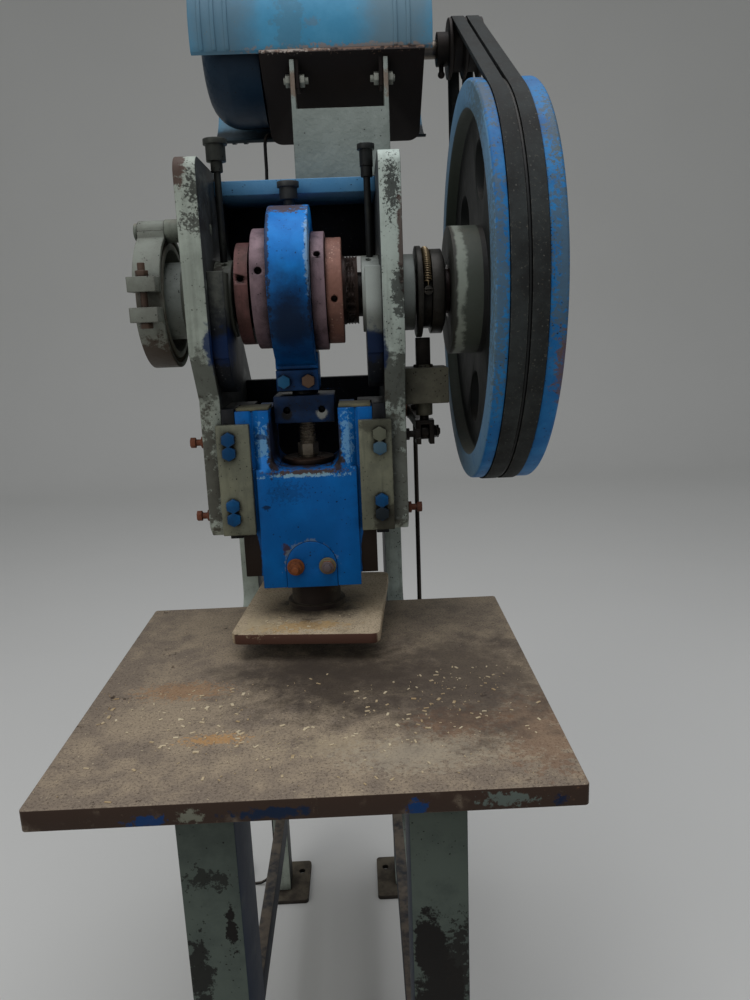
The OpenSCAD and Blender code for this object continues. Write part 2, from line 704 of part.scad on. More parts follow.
module ring_nut()
    color([0.59, 0.39, 0.33]) difference() {
        xcyl(nut_r, strap_x + strap_w/2 + disc_w, strap_x + strap_w/2 + disc_w + nut_w, 0, crank_z + throw);
        xcyl(journal_r, strap_x + strap_w/2, strap_x + strap_w/2 + 60, 0, crank_z + throw);
        for (a = [0:90:270])
            translate([strap_x + strap_w/2 + disc_w + nut_w/2, 0, crank_z + throw])
                rotate([a + 100, 0, 0]) zcyl(4.5, nut_r - 14, nut_r + 2);
    }
module clutch_collar()
    color([0.28, 0.28, 0.27]) difference() {
        union() {
            xcyl(collar_r, collar_x0, collar_x0 + 8, 0, crank_z);
            xcyl(groove_r, collar_x0, sleeve_x1 + 3, 0, crank_z);
            xcyl(collar_r - 5, collar_x0 + collar_w, sleeve_x1, 0, crank_z);
            for (a = [0, 180]) {
                translate([spring_x, 0, crank_z]) rotate([a, 0, 0]) ycyl(3.5, -collar_r + 1, -groove_r + 1);
                translate([spring_x, 0, crank_z]) rotate([a, 0, 0]) difference() {
                    ycyl(6.4, -collar_r + 0.5, -collar_r + 4.5);
                    block([-7, -collar_r, -0.8], [7, -collar_r + 2, 0.8]);
                }
            }
        }
        xcyl(shaft_r, collar_x0 - 1, sleeve_x1 + 4, 0, crank_z);
    }
// Tension spring of close coils that lies round the collar between two pins
module clutch_spring()
    color([0.35, 0.33, 0.31]) translate([spring_x, 0, crank_z]) rotate([90, 0, 90]) {
        rotate(10) rotate_extrude(angle = 160) translate([groove_r + 6.4, 0]) circle(r = 5.2, $fn = 24);
        for (a = [12:4:168])
            rotate(a) translate([groove_r + 6.4, 0, 0]) rotate([90, 0, 0])
                cylinder(r = 5.9, h = 2, center = true, $fn = 24);
    }
module shaft_nut()
    color([0.35, 0.33, 0.30]) difference() {
        union() {
            xcyl(46, hub_x1 + run_gap, hub_x1 + 6, 0, crank_z);
            translate([hub_x1 + 6, 0, crank_z]) rotate([0, 90, 0]) cylinder(r = 40, h = 16, $fn = 6);
        }
        xcyl(end_r, hub_x1 - 1, hub_x1 + 30, 0, crank_z);
        xcyl(shaft_r, hub_x1 - 1, hub_x1 + 1, 0, crank_z);
    }
// Eccentric bush between the crank journal and the strap, with a flange on its left
module eccentric_bush()
    color([0.35, 0.27, 0.26]) difference() {
        union() {
            xcyl(bush_r, strap_x - strap_w/2 - weld, strap_x + strap_w/2 - run_gap, 0, ecc_z);
            xcyl(disc_r + 1, strap_x - strap_w/2 - run_gap - flange_w, strap_x - strap_w/2 - run_gap, 0, ecc_z);
        }
        xcyl(journal_r + fit, strap_x - strap_w/2 - 30, strap_x + strap_w/2 + 1, 0, crank_z + throw);
        translate([strap_x - strap_w/2 - 13, 0, ecc_z]) rotate([75, 0, 0])
            zcyl(5, disc_r - 14, disc_r + 2);
    }

// Connecting rod: a strap round the bush, and a shank that clamps the threaded foot
module connecting_rod()
    color([0.14, 0.38, 0.68]) difference() {
        union() {
            xcyl(strap_r, strap_x - strap_w/2, strap_x + strap_w/2, 0, ecc_z);
            block([strap_x - strap_w/2, -rod_d/2, rod_z + 54], [strap_x + strap_w/2, rod_d/2, ecc_z - strap_r + 20]);
            block([strap_x - rod_w/2, -rod_d/2 + 12, rod_z], [strap_x + rod_w/2, rod_d/2, rod_z + 55]);
            block([strap_x - rod_w/2, -rod_d/2, rod_z + 31], [strap_x + rod_w/2, rod_d/2, rod_z + 55]);
        }
        xcyl(strap_bore, strap_x - strap_w/2 - 1, strap_x + strap_w/2 + 1, 0, ecc_z);
        zcyl(20, rod_z - 1, rod_z + 46, 0, 0);
        zcyl(4, ecc_z + bush_r - 5, ecc_z + strap_r + 1, strap_x, 0);
    }
module rod_clamp_cap()
    color([0.12, 0.34, 0.62]) difference() {
        block([strap_x - rod_w/2, -rod_d/2 - 4, rod_z], [strap_x + rod_w/2, -rod_d/2 + 12, rod_z + 30.6]);
        for (x = [strap_x - 20, strap_x + 16])
            ycyl(6.2, -rod_d/2 - 5, -rod_d/2 + 13, x, rod_z + 14);
    }
module rod_bolts()
    color([0.16, 0.34, 0.58])
        for (x = [strap_x - 20, strap_x + 16])
            front_bolt(x, -rod_d/2 - 4, rod_z + 14, 18, 8, 15.5);
module rod_foot()
    color([0.10, 0.22, 0.42]) difference() {
        union() {
            zcyl(19.8, rod_z - 8, rod_z + 44);
            block([-rod_foot_w/2, -44, rod_z - 7 - rod_foot_h], [rod_foot_w/2, 36, rod_z - 7]);
        }
        zcyl(screw_r + 0.1, rod_z - 8 - rod_foot_h, rod_z + 34, 0, 0);
        for (x = [-26, 26])
            ycyl(5, -45, -20, x, rod_z - 28);
    }
module rod_grease_cup()
    color([0.30, 0.32, 0.32]) translate([strap_x, 0, 0]) {
        zcyl(4, ecc_z + bush_r + 12, ecc_z + strap_r + 8);
        zcyl(8, ecc_z + strap_r, ecc_z + strap_r + 8);
        zcyl(13, ecc_z + strap_r + 8, ecc_z + strap_r + 25);
        zcyl(16, ecc_z + strap_r + 25, ecc_z + strap_r + 33);
    }
// Adjusting screw with a ball end, a hexagon to turn it by, and a thread
module adjusting_screw()
    color([0.33, 0.30, 0.28]) {
        difference() {
            translate([0, 0, ball_z]) sphere(r = ball_r);
            zcyl(ball_r + 1, ball_z + 15, ball_z + ball_r + 1);
        }
        zcyl(screw_r - 1, ball_z + 10, slot_z + 12);
        translate([0, 0, slot_z + 11]) cylinder(r = screw_r + 3, h = 18, $fn = 6);
        translate([0, 0, slot_z + 28]) rotate_extrude()
            polygon(concat([[0, 0]], [for (k = [0:10], s = [0, 1]) [screw_r - 2 + 2*s, 4*k + 2*s]],
                [[screw_r, 46], [0, 46]]));
        zcyl(screw_r, slot_z + 73, rod_z + 20);
    }

// Ram: a slotted block with guide wings, a ball socket and a bore for the shank
module ram_outline()
    polygon([[-ram_w/2, -ram_front], [ram_w/2, -ram_front], [ram_w/2, -wing_front],
        [wing_w/2, -wing_front], [wing_w/2, -wing_front + wing_t], [ram_w/2, -wing_front + wing_t],
        [ram_w/2, ram_rear], [-ram_w/2, ram_rear], [-ram_w/2, -wing_front + wing_t],
        [-wing_w/2, -wing_front + wing_t], [-wing_w/2, -wing_front], [-ram_w/2, -wing_front]]);
module ram()
    color([0.05, 0.27, 0.50]) difference() {
        translate([0, 0, ram_z]) linear_extrude(ram_h) ram_outline();
        // Slot with a round bottom, open to the front and the back
        block([-slot_w/2, -ram_front - 1, slot_z + corner_r], [slot_w/2, ram_rear + 1, ram_top + 1]);
        block([-slot_w/2 + corner_r, -ram_front - 1, slot_z],
            [slot_w/2 - corner_r, ram_rear + 1, slot_z + corner_r + 1]);
        for (i = [-1, 1])
            ycyl(corner_r, -ram_front - 1, ram_rear + 1, i*(slot_w/2 - corner_r), slot_z + corner_r);
        zcyl(ring_r + 0.2, slot_z, slot_z + corner_r);
        // The wings stop short of the top and the bottom
        for (i = [-1, 1]) {
            block([i > 0 ? ram_w/2 : -wing_w/2 - 1, -ram_front, ram_z - 1],
                [i > 0 ? wing_w/2 + 1 : -ram_w/2, ram_rear + 1, ram_z + 18]);
            // Bevels of the posts on both sides of the slot
            translate([i*(ram_w/2 + 1), -ram_front - 1, slot_z + 2]) rotate([0, 0, 45])
                translate([-8, -8, 0]) cube([16, 16, slot_h + 1]);
        }
        translate([0, 0, ball_z]) sphere(r = ball_r + 0.3);
        zcyl(ball_r + 0.3, ball_z, slot_z + 1);
        zcyl(stem_r + 0.1, ram_z - 1, shank_top + 1);
        // Seat of the shank cap, which is round above and straight below
        ycyl(cap_r + 0.2, -ram_front - 1, 0, 0, cap_z);
        block([-cap_r - 0.2, -ram_front - 1, ram_z - 1], [cap_r + 0.2, 0, cap_z]);
        for (x = [-cap_bolt, cap_bolt])
            ycyl(5.5, -1, 40, x, cap_z);
    }
module ram_top_plates()
    color([0.42, 0.41, 0.31]) both_sides()
        block([slot_w/2 + 1, -ram_front + 8, ram_top], [wing_w/2 - 2, wing_t - wing_front - 1, ram_top + 4]);
module ball_retainer()
    color([0.40, 0.25, 0.17]) difference() {
        zcyl(ring_r, slot_z, slot_z + 8);
        zcyl(screw_r + 1.5, slot_z - 1, slot_z + 9);
        translate([0, 0, ball_z]) sphere(r = ball_r + 0.3);
        for (a = [45:90:315])
            rotate(a) zcyl(3, slot_z + 4, slot_z + 9, ring_r - 10);
    }
module shank_cap()
    color([0.05, 0.29, 0.54]) difference() {
        union() {
            ycyl(cap_r, -ram_front - 1.5, -1, 0, cap_z);
            block([-cap_r, -ram_front - 1.5, ram_z], [cap_r, -1, cap_z]);
        }
        block([-cap_r - 1, -ram_front - 3, ram_z - 20], [cap_r + 1, 1, ram_z]);
        zcyl(stem_r + 0.1, ram_z - 1, ram_z + 90);
        for (x = [-cap_bolt, cap_bolt])
            ycyl(5.6, -ram_front - 3, 0, x, cap_z);
    }
module shank_bolts()
    color([0.50, 0.36, 0.24])
        for (x = [-cap_bolt, cap_bolt]) {
            ycyl(5.4, -ram_front - (x < 0 ? 24 : 19), 36, x, cap_z);
            ycyl(13, -ram_front - 4.5, -ram_front - 1.5, x, cap_z);
            translate([x, -ram_front - 13.5, cap_z]) rotate([-90, 0, 0]) cylinder(r = 10, h = 9.5, $fn = 6);
        }
module press_plate()
    color([0.47, 0.38, 0.28]) {
        translate([0, 5, pad_z0]) rotate(pad_turn) linear_extrude(pad_t) round_rect(pad_w, pad_d, 14);
        zcyl(boss_r, pad_z1 - weld, ram_z);
        zcyl(boss_r + 7, pad_z1 - weld, pad_z1 + 8);
        zcyl(stem_r, ram_z - weld, shank_top);
    }

// Motor on its sloping platform, under a hood cut from a plastic drum
module on_platform()
    translate([0, platform_mid_y, platform_mid_z]) rotate([-platform_tilt, 0, 0]) children();
module motor_platform()
    color([0.10, 0.09, 0.09]) difference() {
        union() {
            on_platform() translate([platform_x, 0, -platform_t]) linear_extrude(platform_t)
                difference() {
                    square([platform_w, platform_l], center = true);
                    for (i = [-1, 1])
                        translate([i*platform_w/2, platform_l/2]) corner_web(20, -i, -1);
                }
            for (i = [-1, 1])
                side_profile(bracket_x + i*ear_x - (i > 0 ? 0 : 6), bracket_x + i*ear_x + (i > 0 ? 6 : 0))
                    polygon([[tilt_pin_y - 12, tilt_pin_z - 14], [tilt_pin_y + 14, tilt_pin_z - 14],
                        [tilt_pin_y + 34, tilt_pin_z - 10],
                        [tilt_pin_y + 34, platform_mid_z - (tilt_pin_y + 34 - platform_mid_y)*tan(platform_tilt) - 5],
                        [tilt_pin_y - 12, platform_mid_z - (tilt_pin_y - 12 - platform_mid_y)*tan(platform_tilt) - 5]]);
        }
        xcyl(5.1, bracket_x - ear_x - 20, bracket_x + ear_x + 20, tilt_pin_y, tilt_pin_z);
    }
module motor_body()
    color([0.20, 0.24, 0.30]) {
        difference() {
            union() {
                xcyl(motor_r - 7, motor_x0, motor_x1, motor_y, motor_z);
                for (a = [0:12:348])
                    translate([motor_x0 + 14, motor_y, motor_z]) rotate([a, 0, 0])
                        translate([0, -1.5, motor_r - 9]) cube([motor_l - 28, 3, 9]);
                xcyl(motor_r - 12, motor_x1 - weld, motor_x1 + 12, motor_y, motor_z);
                xcyl(30, motor_x1, motor_x1 + 22, motor_y, motor_z);
            }
            xcyl(14 + run_gap, motor_x0 - 1, motor_x1 + 24, motor_y, motor_z);
        }
        on_platform() for (i = [-1, 1])
            translate([motor_x0 + motor_l/2, i*58, 0]) difference() {
                translate([-motor_l/2 + 18, -18, 0]) cube([motor_l - 36, 36, 46]);
                translate([-motor_l/2 + 17, i*12, 9]) rotate([i*-24, 0, 0])
                    translate([0, -36 + i*36, 0]) cube([motor_l, 72, 60]);
            }
        // Terminal box on the rear, with the gland of the cable
        on_platform() translate([motor_x0 + 102, motor_r - 14, 64]) cube([84, 46, 62]);
        on_platform() xcyl(7, motor_x0 + 90, motor_x0 + 103, 105.7, 83.3);
    }
module fan_cowl()
    color([0.10, 0.14, 0.24]) translate([0, motor_y, motor_z]) rotate([0, 90, 0]) rotate_extrude()
        polygon(concat([[14, hood_x0 + 6], [cowl_r - 50, hood_x0 + 6]],
            [for (a = [0:10:90]) [cowl_r - 50 + 50*sin(a), hood_x0 + 56 - 50*cos(a)]],
            [[cowl_r, motor_x0],
            [motor_r - 7.2, motor_x0], [motor_r - 7.2, motor_x0 - 3], [cowl_r - 3, motor_x0 - 3]],
            [for (a = [90:-10:0]) [cowl_r - 50 + 47*sin(a), hood_x0 + 56 - 47*cos(a)]],
            [[14, hood_x0 + 9]]));
module drum_hood()
    color([0.20, 0.45, 0.70]) difference() {
        translate([hood_x0, motor_y, motor_z]) rotate([0, 90, 0]) difference() {
            union() {
                cylinder(r = hood_r, h = hood_l);
                for (x = [14, 34, 54, hood_l - 60, hood_l - 40])
                    translate([0, 0, x]) cylinder(r = hood_r + 2, h = 6);
            }
            translate([0, 0, -1]) cylinder(r = hood_r - hood_wall, h = hood_l + 2);
        }
        on_platform() translate([hood_x0 - 1, -300, -200]) cube([hood_l + 60, 600, 200]);
    }
module motor_shaft()
    color([0.45, 0.43, 0.40])
        xcyl(14, hood_x0 + 30, wheel_groove_x + belt_pitch + 16, motor_y, motor_z);
module motor_pulley()
    color([0.16, 0.15, 0.15]) difference() {
        union() {
            xcyl(pulley_r, wheel_groove_x - belt_pitch - 3, wheel_groove_x + belt_pitch + 3, motor_y, motor_z);
            xcyl(26, wheel_groove_x - belt_pitch - 22, wheel_groove_x, motor_y, motor_z);
            zcyl(4, motor_z - 36, motor_z - 20, wheel_groove_x - belt_pitch - 14, motor_y);
            translate([wheel_groove_x - belt_pitch - 14, motor_y, motor_z - 39]) sphere(r = 6);
        }
        translate([0, motor_y, motor_z]) grooved_ring(pulley_r, belt_pulley_r);
        xcyl(14, 180, 360, motor_y, motor_z);
    }

// Clutch trip: latch, lever, pull rod and pedal
module trip_plunger()
    color([0.22, 0.21, 0.20]) {
        difference() {
            union() {
                block([latch_x - latch_w/2, -latch_w/2, block_z0 + 36],
                    [latch_x + latch_w/2, latch_w/2, latch_top]);
                zcyl(7, lever_z + 14, block_z0 + 37, latch_x, 0);
                block([latch_x - 14, -14, lever_z - 18], [latch_x + 14, 14, lever_z + 19]);
            }
            block([latch_x - 6.4, -15, lever_z - 19], [latch_x + 6.4, 15, lever_z + 12.6]);
        }
        xcyl(5, latch_x - 14, latch_x + 24, 0, lever_z);
        for (x = [13.5, 18])
            translate([latch_x + x, 0, lever_z]) rotate([0, 90, 0]) cylinder(r = 10, h = 4, $fn = 6);
    }
module trip_lever()
    color([0.24, 0.22, 0.20]) difference() {
        union() {
            side_profile(latch_x - 6, latch_x + 6)
                polygon([[0, lever_z - 9], [lever_pivot_y, lever_z - 13], [lever_pivot_y, lever_z + 13],
                    [0, lever_z + 9]]);
            xcyl(12, latch_x - 6, latch_x + 6, 0, lever_z);
            xcyl(15, latch_x - 8, latch_x + 8, lever_pivot_y, lever_z);
        }
        xcyl(7 + fit, latch_x - 30, latch_x + 30, lever_pivot_y, lever_z);
        xcyl(5 + 2*run_gap, latch_x - 30, latch_x + 30, 0, lever_z);
        zcyl(pull_rod_r + 1.2, lever_z - 30, lever_z + 30, latch_x, rod_y);
    }
module pivot_pins()
    color([0.40, 0.36, 0.32]) {
        xcyl(7, plate_in, latch_x + 16, lever_pivot_y, lever_z);
        xcyl(12, latch_x + 8.4, latch_x + 14, lever_pivot_y, lever_z);
        xcyl(12, plate_out, latch_x - 8.4, lever_pivot_y, lever_z);
        xcyl(7, plate_in, latch_x + 16, pedal_pivot_y, pedal_z);
        xcyl(12, plate_out, latch_x - 8.4, pedal_pivot_y, pedal_z);
        xcyl(12, latch_x + 8.4, latch_x + 14, pedal_pivot_y, pedal_z);
    }
module pull_rod()
    color([0.14, 0.13, 0.12]) {
        zcyl(pull_rod_r, pedal_z + 24, lever_z + 30, latch_x, rod_y);
        zcyl(7, lever_z + lever_eye + 0.9, lever_z + lever_eye + 9, latch_x, rod_y);
        difference() {
            block([latch_x - 14, rod_y - 9, pedal_z - 16], [latch_x + 14, rod_y + 9, pedal_z + 26]);
            block([latch_x - 6.4, rod_y - 10, pedal_z - 17], [latch_x + 6.4, rod_y + 10, pedal_z + 14]);
        }
        xcyl(5, latch_x - 16, latch_x + 16, rod_y, pedal_z);
    }
// Pedal: a bar along the floor with a foot pad in front and a pin that holds the pull rod
module pedal()
    color([0.15, 0.14, 0.13]) difference() {
        union() {
            side_profile(latch_x - 6, latch_x + 6)
                polygon([[pedal_pivot_y, pedal_z - 14], [pedal_pivot_y, pedal_z + 14],
                    [rod_y + 20, pedal_z + 10], [-150, pedal_z + 10], [-150, pedal_z - 10],
                    [rod_y + 20, pedal_z - 10]]);
            xcyl(16, latch_x - 8, latch_x + 8, pedal_pivot_y, pedal_z);
            block([latch_x - 30, -230, pedal_z + 4], [latch_x + 50, -140, pedal_z + 10]);
        }
        xcyl(7 + fit, latch_x - 30, latch_x + 30, pedal_pivot_y, pedal_z);
        xcyl(5 + 2*run_gap, latch_x - 30, latch_x + 30, rod_y, pedal_z);
    }

// Power cable: a tube along its points, a coil of the spare length, and a plug
function ring_dir(p, k) = k == 0 ? p[1] - p[0] : k == len(p) - 1 ? p[k] - p[k - 1] : p[k + 1] - p[k - 1];
function unit(v) = v/norm(v);
function side_of(d) = unit(cross(d, abs(d[0]) > 0.9*norm(d) ? [0, 1, 0] : [1, 0, 0]));
function ring(c, d, r, n) = let (u = side_of(d), w = unit(cross(unit(d), u)))
    [for (i = [0:n - 1]) c + r*(cos(i*360/n)*u + sin(i*360/n)*w)];
module tube(p, r, n) {
    rings = [for (k = [0:len(p) - 1]) each ring(p[k], ring_dir(p, k), r, n)];
    last = (len(p) - 1)*n;
    faces = concat([[for (i = [0:n - 1]) i]],
        [for (k = [0:len(p) - 2], i = [0:n - 1])
            [k*n + i, (k + 1)*n + i, (k + 1)*n + (i + 1)%n, k*n + (i + 1)%n]],
        [[for (i = [n - 1:-1:0]) last + i]]);
    polyhedron(points = rings, faces = faces);
}
module power_cable()
    color([0.06, 0.06, 0.06]) tube(cable_points, cable_r, 8);
module cable_clips()
    color([0.20, 0.20, 0.20])
        for (p = clip_places)
            translate([-plate_out, p[0], p[1]]) rotate([p[1] == 1168 ? 45 : 0, 0, 0]) difference() {
                block([-9.6, -7, -6], [0, 22, 6]);
                block([-7, -3.8, -7], [1, 3.8, 7]);
                block([-10, 6, -7], [-2.5, 23, 7]);
            }
module cable_coil()
    color([0.06, 0.06, 0.06]) translate([cable_coil_at[0], cable_coil_at[1], 0.2]) rotate_extrude($fn = 48)
        translate([cable_coil_r, 6.2]) round_rect(12.4, 12.4, 4);
module plug()
    color([0.08, 0.08, 0.08]) translate([cable_coil_at[0] - 42, 368.9, 0]) {
        block([-56, -14, 0.2], [-10, 14, 26]);
        xcyl(6, -11, 0, 0, 9);
        xcyl(3.2, -1, 21.2, 0, 9);
        for (y = [-7, 7])
            xcyl(2.4, -74, -55, y, 13);
    }

side_plate_left();
side_plate_right();
tie_plate();
back_plate();
cross_member();
table_plate();
front_leg_left();
front_leg_right();
foot_plates();
side_rails();
guide_blocks();
gib_plates();
frame_bolts();
set_screws();
bearing_housings();
bearing_bushes();
motor_bracket();
clutch_bracket();
brake_anchor();
brake_band();
brake_lining();
grease_cups();
v_belts();
pivot_pins();
power_cable();
cable_clips();
cable_coil();
plug();
crankshaft();
brake_drum();
lock_disc();
ring_nut();
clutch_collar();
clutch_spring();
shaft_nut();
eccentric_bush();
connecting_rod();
rod_clamp_cap();
rod_bolts();
rod_foot();
rod_grease_cup();
adjusting_screw();
ram();
ram_top_plates();
ball_retainer();
shank_cap();
shank_bolts();
press_plate();
flywheel();
flywheel_bush();
motor_platform();
motor_body();
fan_cowl();
drum_hood();
motor_shaft();
motor_pulley();
trip_plunger();
trip_lever();
pull_rod();
pedal();
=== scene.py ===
"""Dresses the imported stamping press: worn paint, rust, oil, sawdust, cable, studio and camera."""

import json
import logging
import math
import random
from dataclasses import dataclass
from enum import Enum
from typing import ClassVar

import bpy
from mathutils import Matrix, Vector

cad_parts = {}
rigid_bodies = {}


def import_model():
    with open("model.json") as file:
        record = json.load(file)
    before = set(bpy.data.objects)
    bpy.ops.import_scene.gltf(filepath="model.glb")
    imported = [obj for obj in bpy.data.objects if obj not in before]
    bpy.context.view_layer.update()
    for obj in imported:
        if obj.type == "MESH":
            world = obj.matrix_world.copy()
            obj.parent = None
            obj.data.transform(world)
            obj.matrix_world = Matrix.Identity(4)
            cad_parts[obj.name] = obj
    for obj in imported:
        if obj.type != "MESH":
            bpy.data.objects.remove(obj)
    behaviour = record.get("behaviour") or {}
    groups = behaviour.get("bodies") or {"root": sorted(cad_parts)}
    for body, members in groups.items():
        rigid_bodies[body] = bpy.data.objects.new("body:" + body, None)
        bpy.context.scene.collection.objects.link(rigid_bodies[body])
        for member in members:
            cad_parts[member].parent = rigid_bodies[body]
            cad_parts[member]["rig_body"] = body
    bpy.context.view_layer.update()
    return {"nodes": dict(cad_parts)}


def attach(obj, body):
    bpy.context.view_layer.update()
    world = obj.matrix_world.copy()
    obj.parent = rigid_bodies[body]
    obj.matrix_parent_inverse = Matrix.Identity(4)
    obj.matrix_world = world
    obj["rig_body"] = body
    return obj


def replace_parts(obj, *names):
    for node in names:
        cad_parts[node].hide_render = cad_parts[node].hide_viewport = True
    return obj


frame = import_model()

LOG = logging.getLogger("press")
MM = 0.001
Rgb = tuple[int, int, int]
Point = tuple[float, float, float]
AXIS = 1303  # height of the crank's axis, in millimetres
CRANK_Z = AXIS * MM
MOTOR_Z = 1.706
RIM_INNER = 244.5  # the flywheel's radius inside its rim, in millimetres
FAR = 4000  # a stain's reach that ends outside the machine
MADE: dict[str, bpy.types.Material] = {}
# Near black with a blue cast: painted shade on the side plates' inner faces, which face each other inside
# the head.
INNER_FACE_SHADE: Rgb = (30, 31, 38)
SPECKS: Rgb = (8, 24, 42)
PALE_BLUE: Rgb = (112, 160, 194)
WORN_GREY: Rgb = (82, 92, 88)
OILY: Rgb = (34, 27, 23)
DEEP_BLUE: Rgb = (6, 54, 104)


def linear(colour: Rgb) -> tuple[float, ...]:
    """Turns a colour of 0 to 255 into the values that shaders read.

    Args:
        colour: Red, green and blue as a screen shows them.

    Returns:
        The colour in linear light, with full opacity.
    """
    parts = [part / 255 for part in colour]
    light = [p / 12.92 if p <= 0.04045 else ((p + 0.055) / 1.055) ** 2.4 for p in parts]
    return (*light, 1.0)


class Value:
    """An output of a shader tree that Python's operators work on."""

    def __init__(self, shader: "Shader", socket: bpy.types.NodeSocket) -> None:
        """Keeps the tree and the socket."""
        self.shader = shader
        self.socket = socket

    def twin(self, output: int | str) -> "Value":
        """Another output of the same node."""
        return Value(self.shader, self.socket.node.outputs[output])

    def _math(self, operation: str, first: "Value | float", second: "Value | float") -> "Value":
        """Adds one Math node."""
        return self.shader.node("ShaderNodeMath", {"operation": operation}, {0: first, 1: second})

    def __add__(self, other: "Value | float") -> "Value":
        """Sum."""
        return self._math("ADD", self, other)

    __radd__ = __add__

    def __mul__(self, other: "Value | float") -> "Value":
        """Product."""
        return self._math("MULTIPLY", self, other)

    def __sub__(self, other: "Value | float") -> "Value":
        """Difference."""
        return self._math("SUBTRACT", self, other)

    def __rsub__(self, other: "Value | float") -> "Value":
        """Difference the other way round."""
        return self._math("SUBTRACT", other, self)

    def between(self, low: float, high: float) -> "Value":
        """A soft step.

        Args:
            low: Where the result is 0.
            high: Where the result is 1.

        Returns:
            The mask, from 0 to 1.
        """
        return self.shader.node("ShaderNodeMapRange", {"interpolation_type": "SMOOTHSTEP"},
                                {"Value": self, "From Min": low, "From Max": high})


class Shader:
    """A material's node tree, with the patterns that the finishes share."""

    DULL = 0.16  # specular level of all the finishes
    DOT = 0.4  # reach of a dot within its cell

    def __init__(self, name: str) -> None:
        """Starts an empty tree.

        Args:
            name: Name of the material that it is for.
        """
        self.material = bpy.data.materials.new(name)
        self.material.use_nodes = True
        self.tree = self.material.node_tree
        self.tree.nodes.clear()
        self.place = self.node("ShaderNodeTexCoord", output="Object")
        self.normal = self.node("ShaderNodeTexCoord", output="Normal")

    def node(self, kind: str, settings: dict | None = None, inputs: dict | None = None,
             output: int | str = 0) -> Value:
        """Adds a node.

        Args:
            kind: The node's type.
            settings: Properties that are set before its sockets are filled.
            inputs: Values or links by socket name or number.
            output: The socket that is returned.

        Returns:
            The node's output.
        """
        made = self.tree.nodes.new(kind)
        for name, value in (settings or {}).items():
            setattr(made, name, value)
        for name, value in (inputs or {}).items():
            if isinstance(value, Value):
                self.tree.links.new(value.socket, made.inputs[name])
            else:
                made.inputs[name].default_value = value
        return Value(self, made.outputs[output])

    def noise(self, place: Value, scale: float, detail: float = 4.0, rough: float = 0.55) -> Value:
        """Cloudy noise from 0 to 1, at so many waves a metre."""
        return self.node("ShaderNodeTexNoise", None, {
            "Vector": place, "Scale": scale, "Detail": detail, "Roughness": rough})

    def stretch(self, place: Value, scale: Point) -> Value:
        """Scales a place along each axis."""
        return self.node("ShaderNodeMapping", None, {"Vector": place, "Scale": scale})

    def vector(self, operation: str, first: Value, second: Value | Point, output: int = 0) -> Value:
        """Adds a Vector Math node."""
        return self.node("ShaderNodeVectorMath", {"operation": operation}, {0: first, 1: second}, output)

    def facing(self, direction: Point) -> Value:
        """How far the surface looks along a direction, from -1 to 1."""
        return self.vector("DOT_PRODUCT", self.normal, direction, 1)

    def spots(self, scale: float, share: float) -> Value:
        """Scattered ragged dots.

        Args:
            scale: Cells a metre.
            share: Share of the cells that hold a dot.

        Returns:
            The mask, from 0 to 1.
        """
        wave = self.node("ShaderNodeTexNoise", None, {"Vector": self.place, "Scale": scale * 2.2}, 1)
        bent = self.vector("ADD", self.place, self.vector("MULTIPLY", wave, (0.9 / scale,) * 3))
        cells = self.node("ShaderNodeTexVoronoi", None, {"Scale": scale, "Vector": bent})
        near = cells.between(self.DOT, self.DOT * 0.6)
        red = self.node("ShaderNodeSeparateColor", None, {0: cells.twin("Color")})
        return near * red.between(share + 0.02, share - 0.02)

    def edge(self, radius: float) -> Value:
        """Marks the sharp edges of a shape, within a radius.

        Args:
            radius: How far from an edge the mask reaches, in metres.

        Returns:
            The mask, from 0 to 1.
        """
        round_normal = self.node("ShaderNodeBevel", {"samples": 4}, {"Radius": radius})
        flat_normal = self.node("ShaderNodeNewGeometry", output="Normal")
        return (1.0 - self.vector("DOT_PRODUCT", round_normal, flat_normal, 1)).between(0.01, 0.2)

    def cavity(self, distance: float) -> Value:
        """Marks the corners that other surfaces shade, within a distance."""
        return 1.0 - self.node("ShaderNodeAmbientOcclusion", {"samples": 4}, {"Distance": distance}, "AO")

    def mix(self, mask: Value | float, first: Value | Rgb, second: Value | Rgb) -> Value:
        """Mixes two colours.

        Args:
            mask: 0 for the first colour and 1 for the second.
            first: A colour, as 0 to 255 or from the tree.
            second: A colour, as 0 to 255 or from the tree.

        Returns:
            The mixed colour.
        """
        pair = [c if isinstance(c, Value) else linear(c) for c in (first, second)]
        return self.node("ShaderNodeMix", {"data_type": "RGBA"}, {0: mask, 6: pair[0], 7: pair[1]}, 2)

    def close(self, colour: Value, rough: Value, metal: Value | float, height: Value,
              bump: float) -> bpy.types.Material:
        """Ends the tree with one shader.

        Args:
            colour: Base colour.
            rough: Roughness.
            metal: Share of bare metal.
            height: Height of the fine relief, 1 for a millimetre.
            bump: Strength of the relief.

        Returns:
            The finished material.
        """
        relief = self.node("ShaderNodeBump", None, {"Strength": bump, "Distance": MM, "Height": height})
        shader = self.node("ShaderNodeBsdfPrincipled", None, {
            "Base Color": colour, "Roughness": rough, "Metallic": metal, "Normal": relief,
            "Specular IOR Level": self.DULL})
        out = self.tree.nodes.new("ShaderNodeOutputMaterial")
        self.tree.links.new(shader.socket, out.inputs["Surface"])
        return self.material


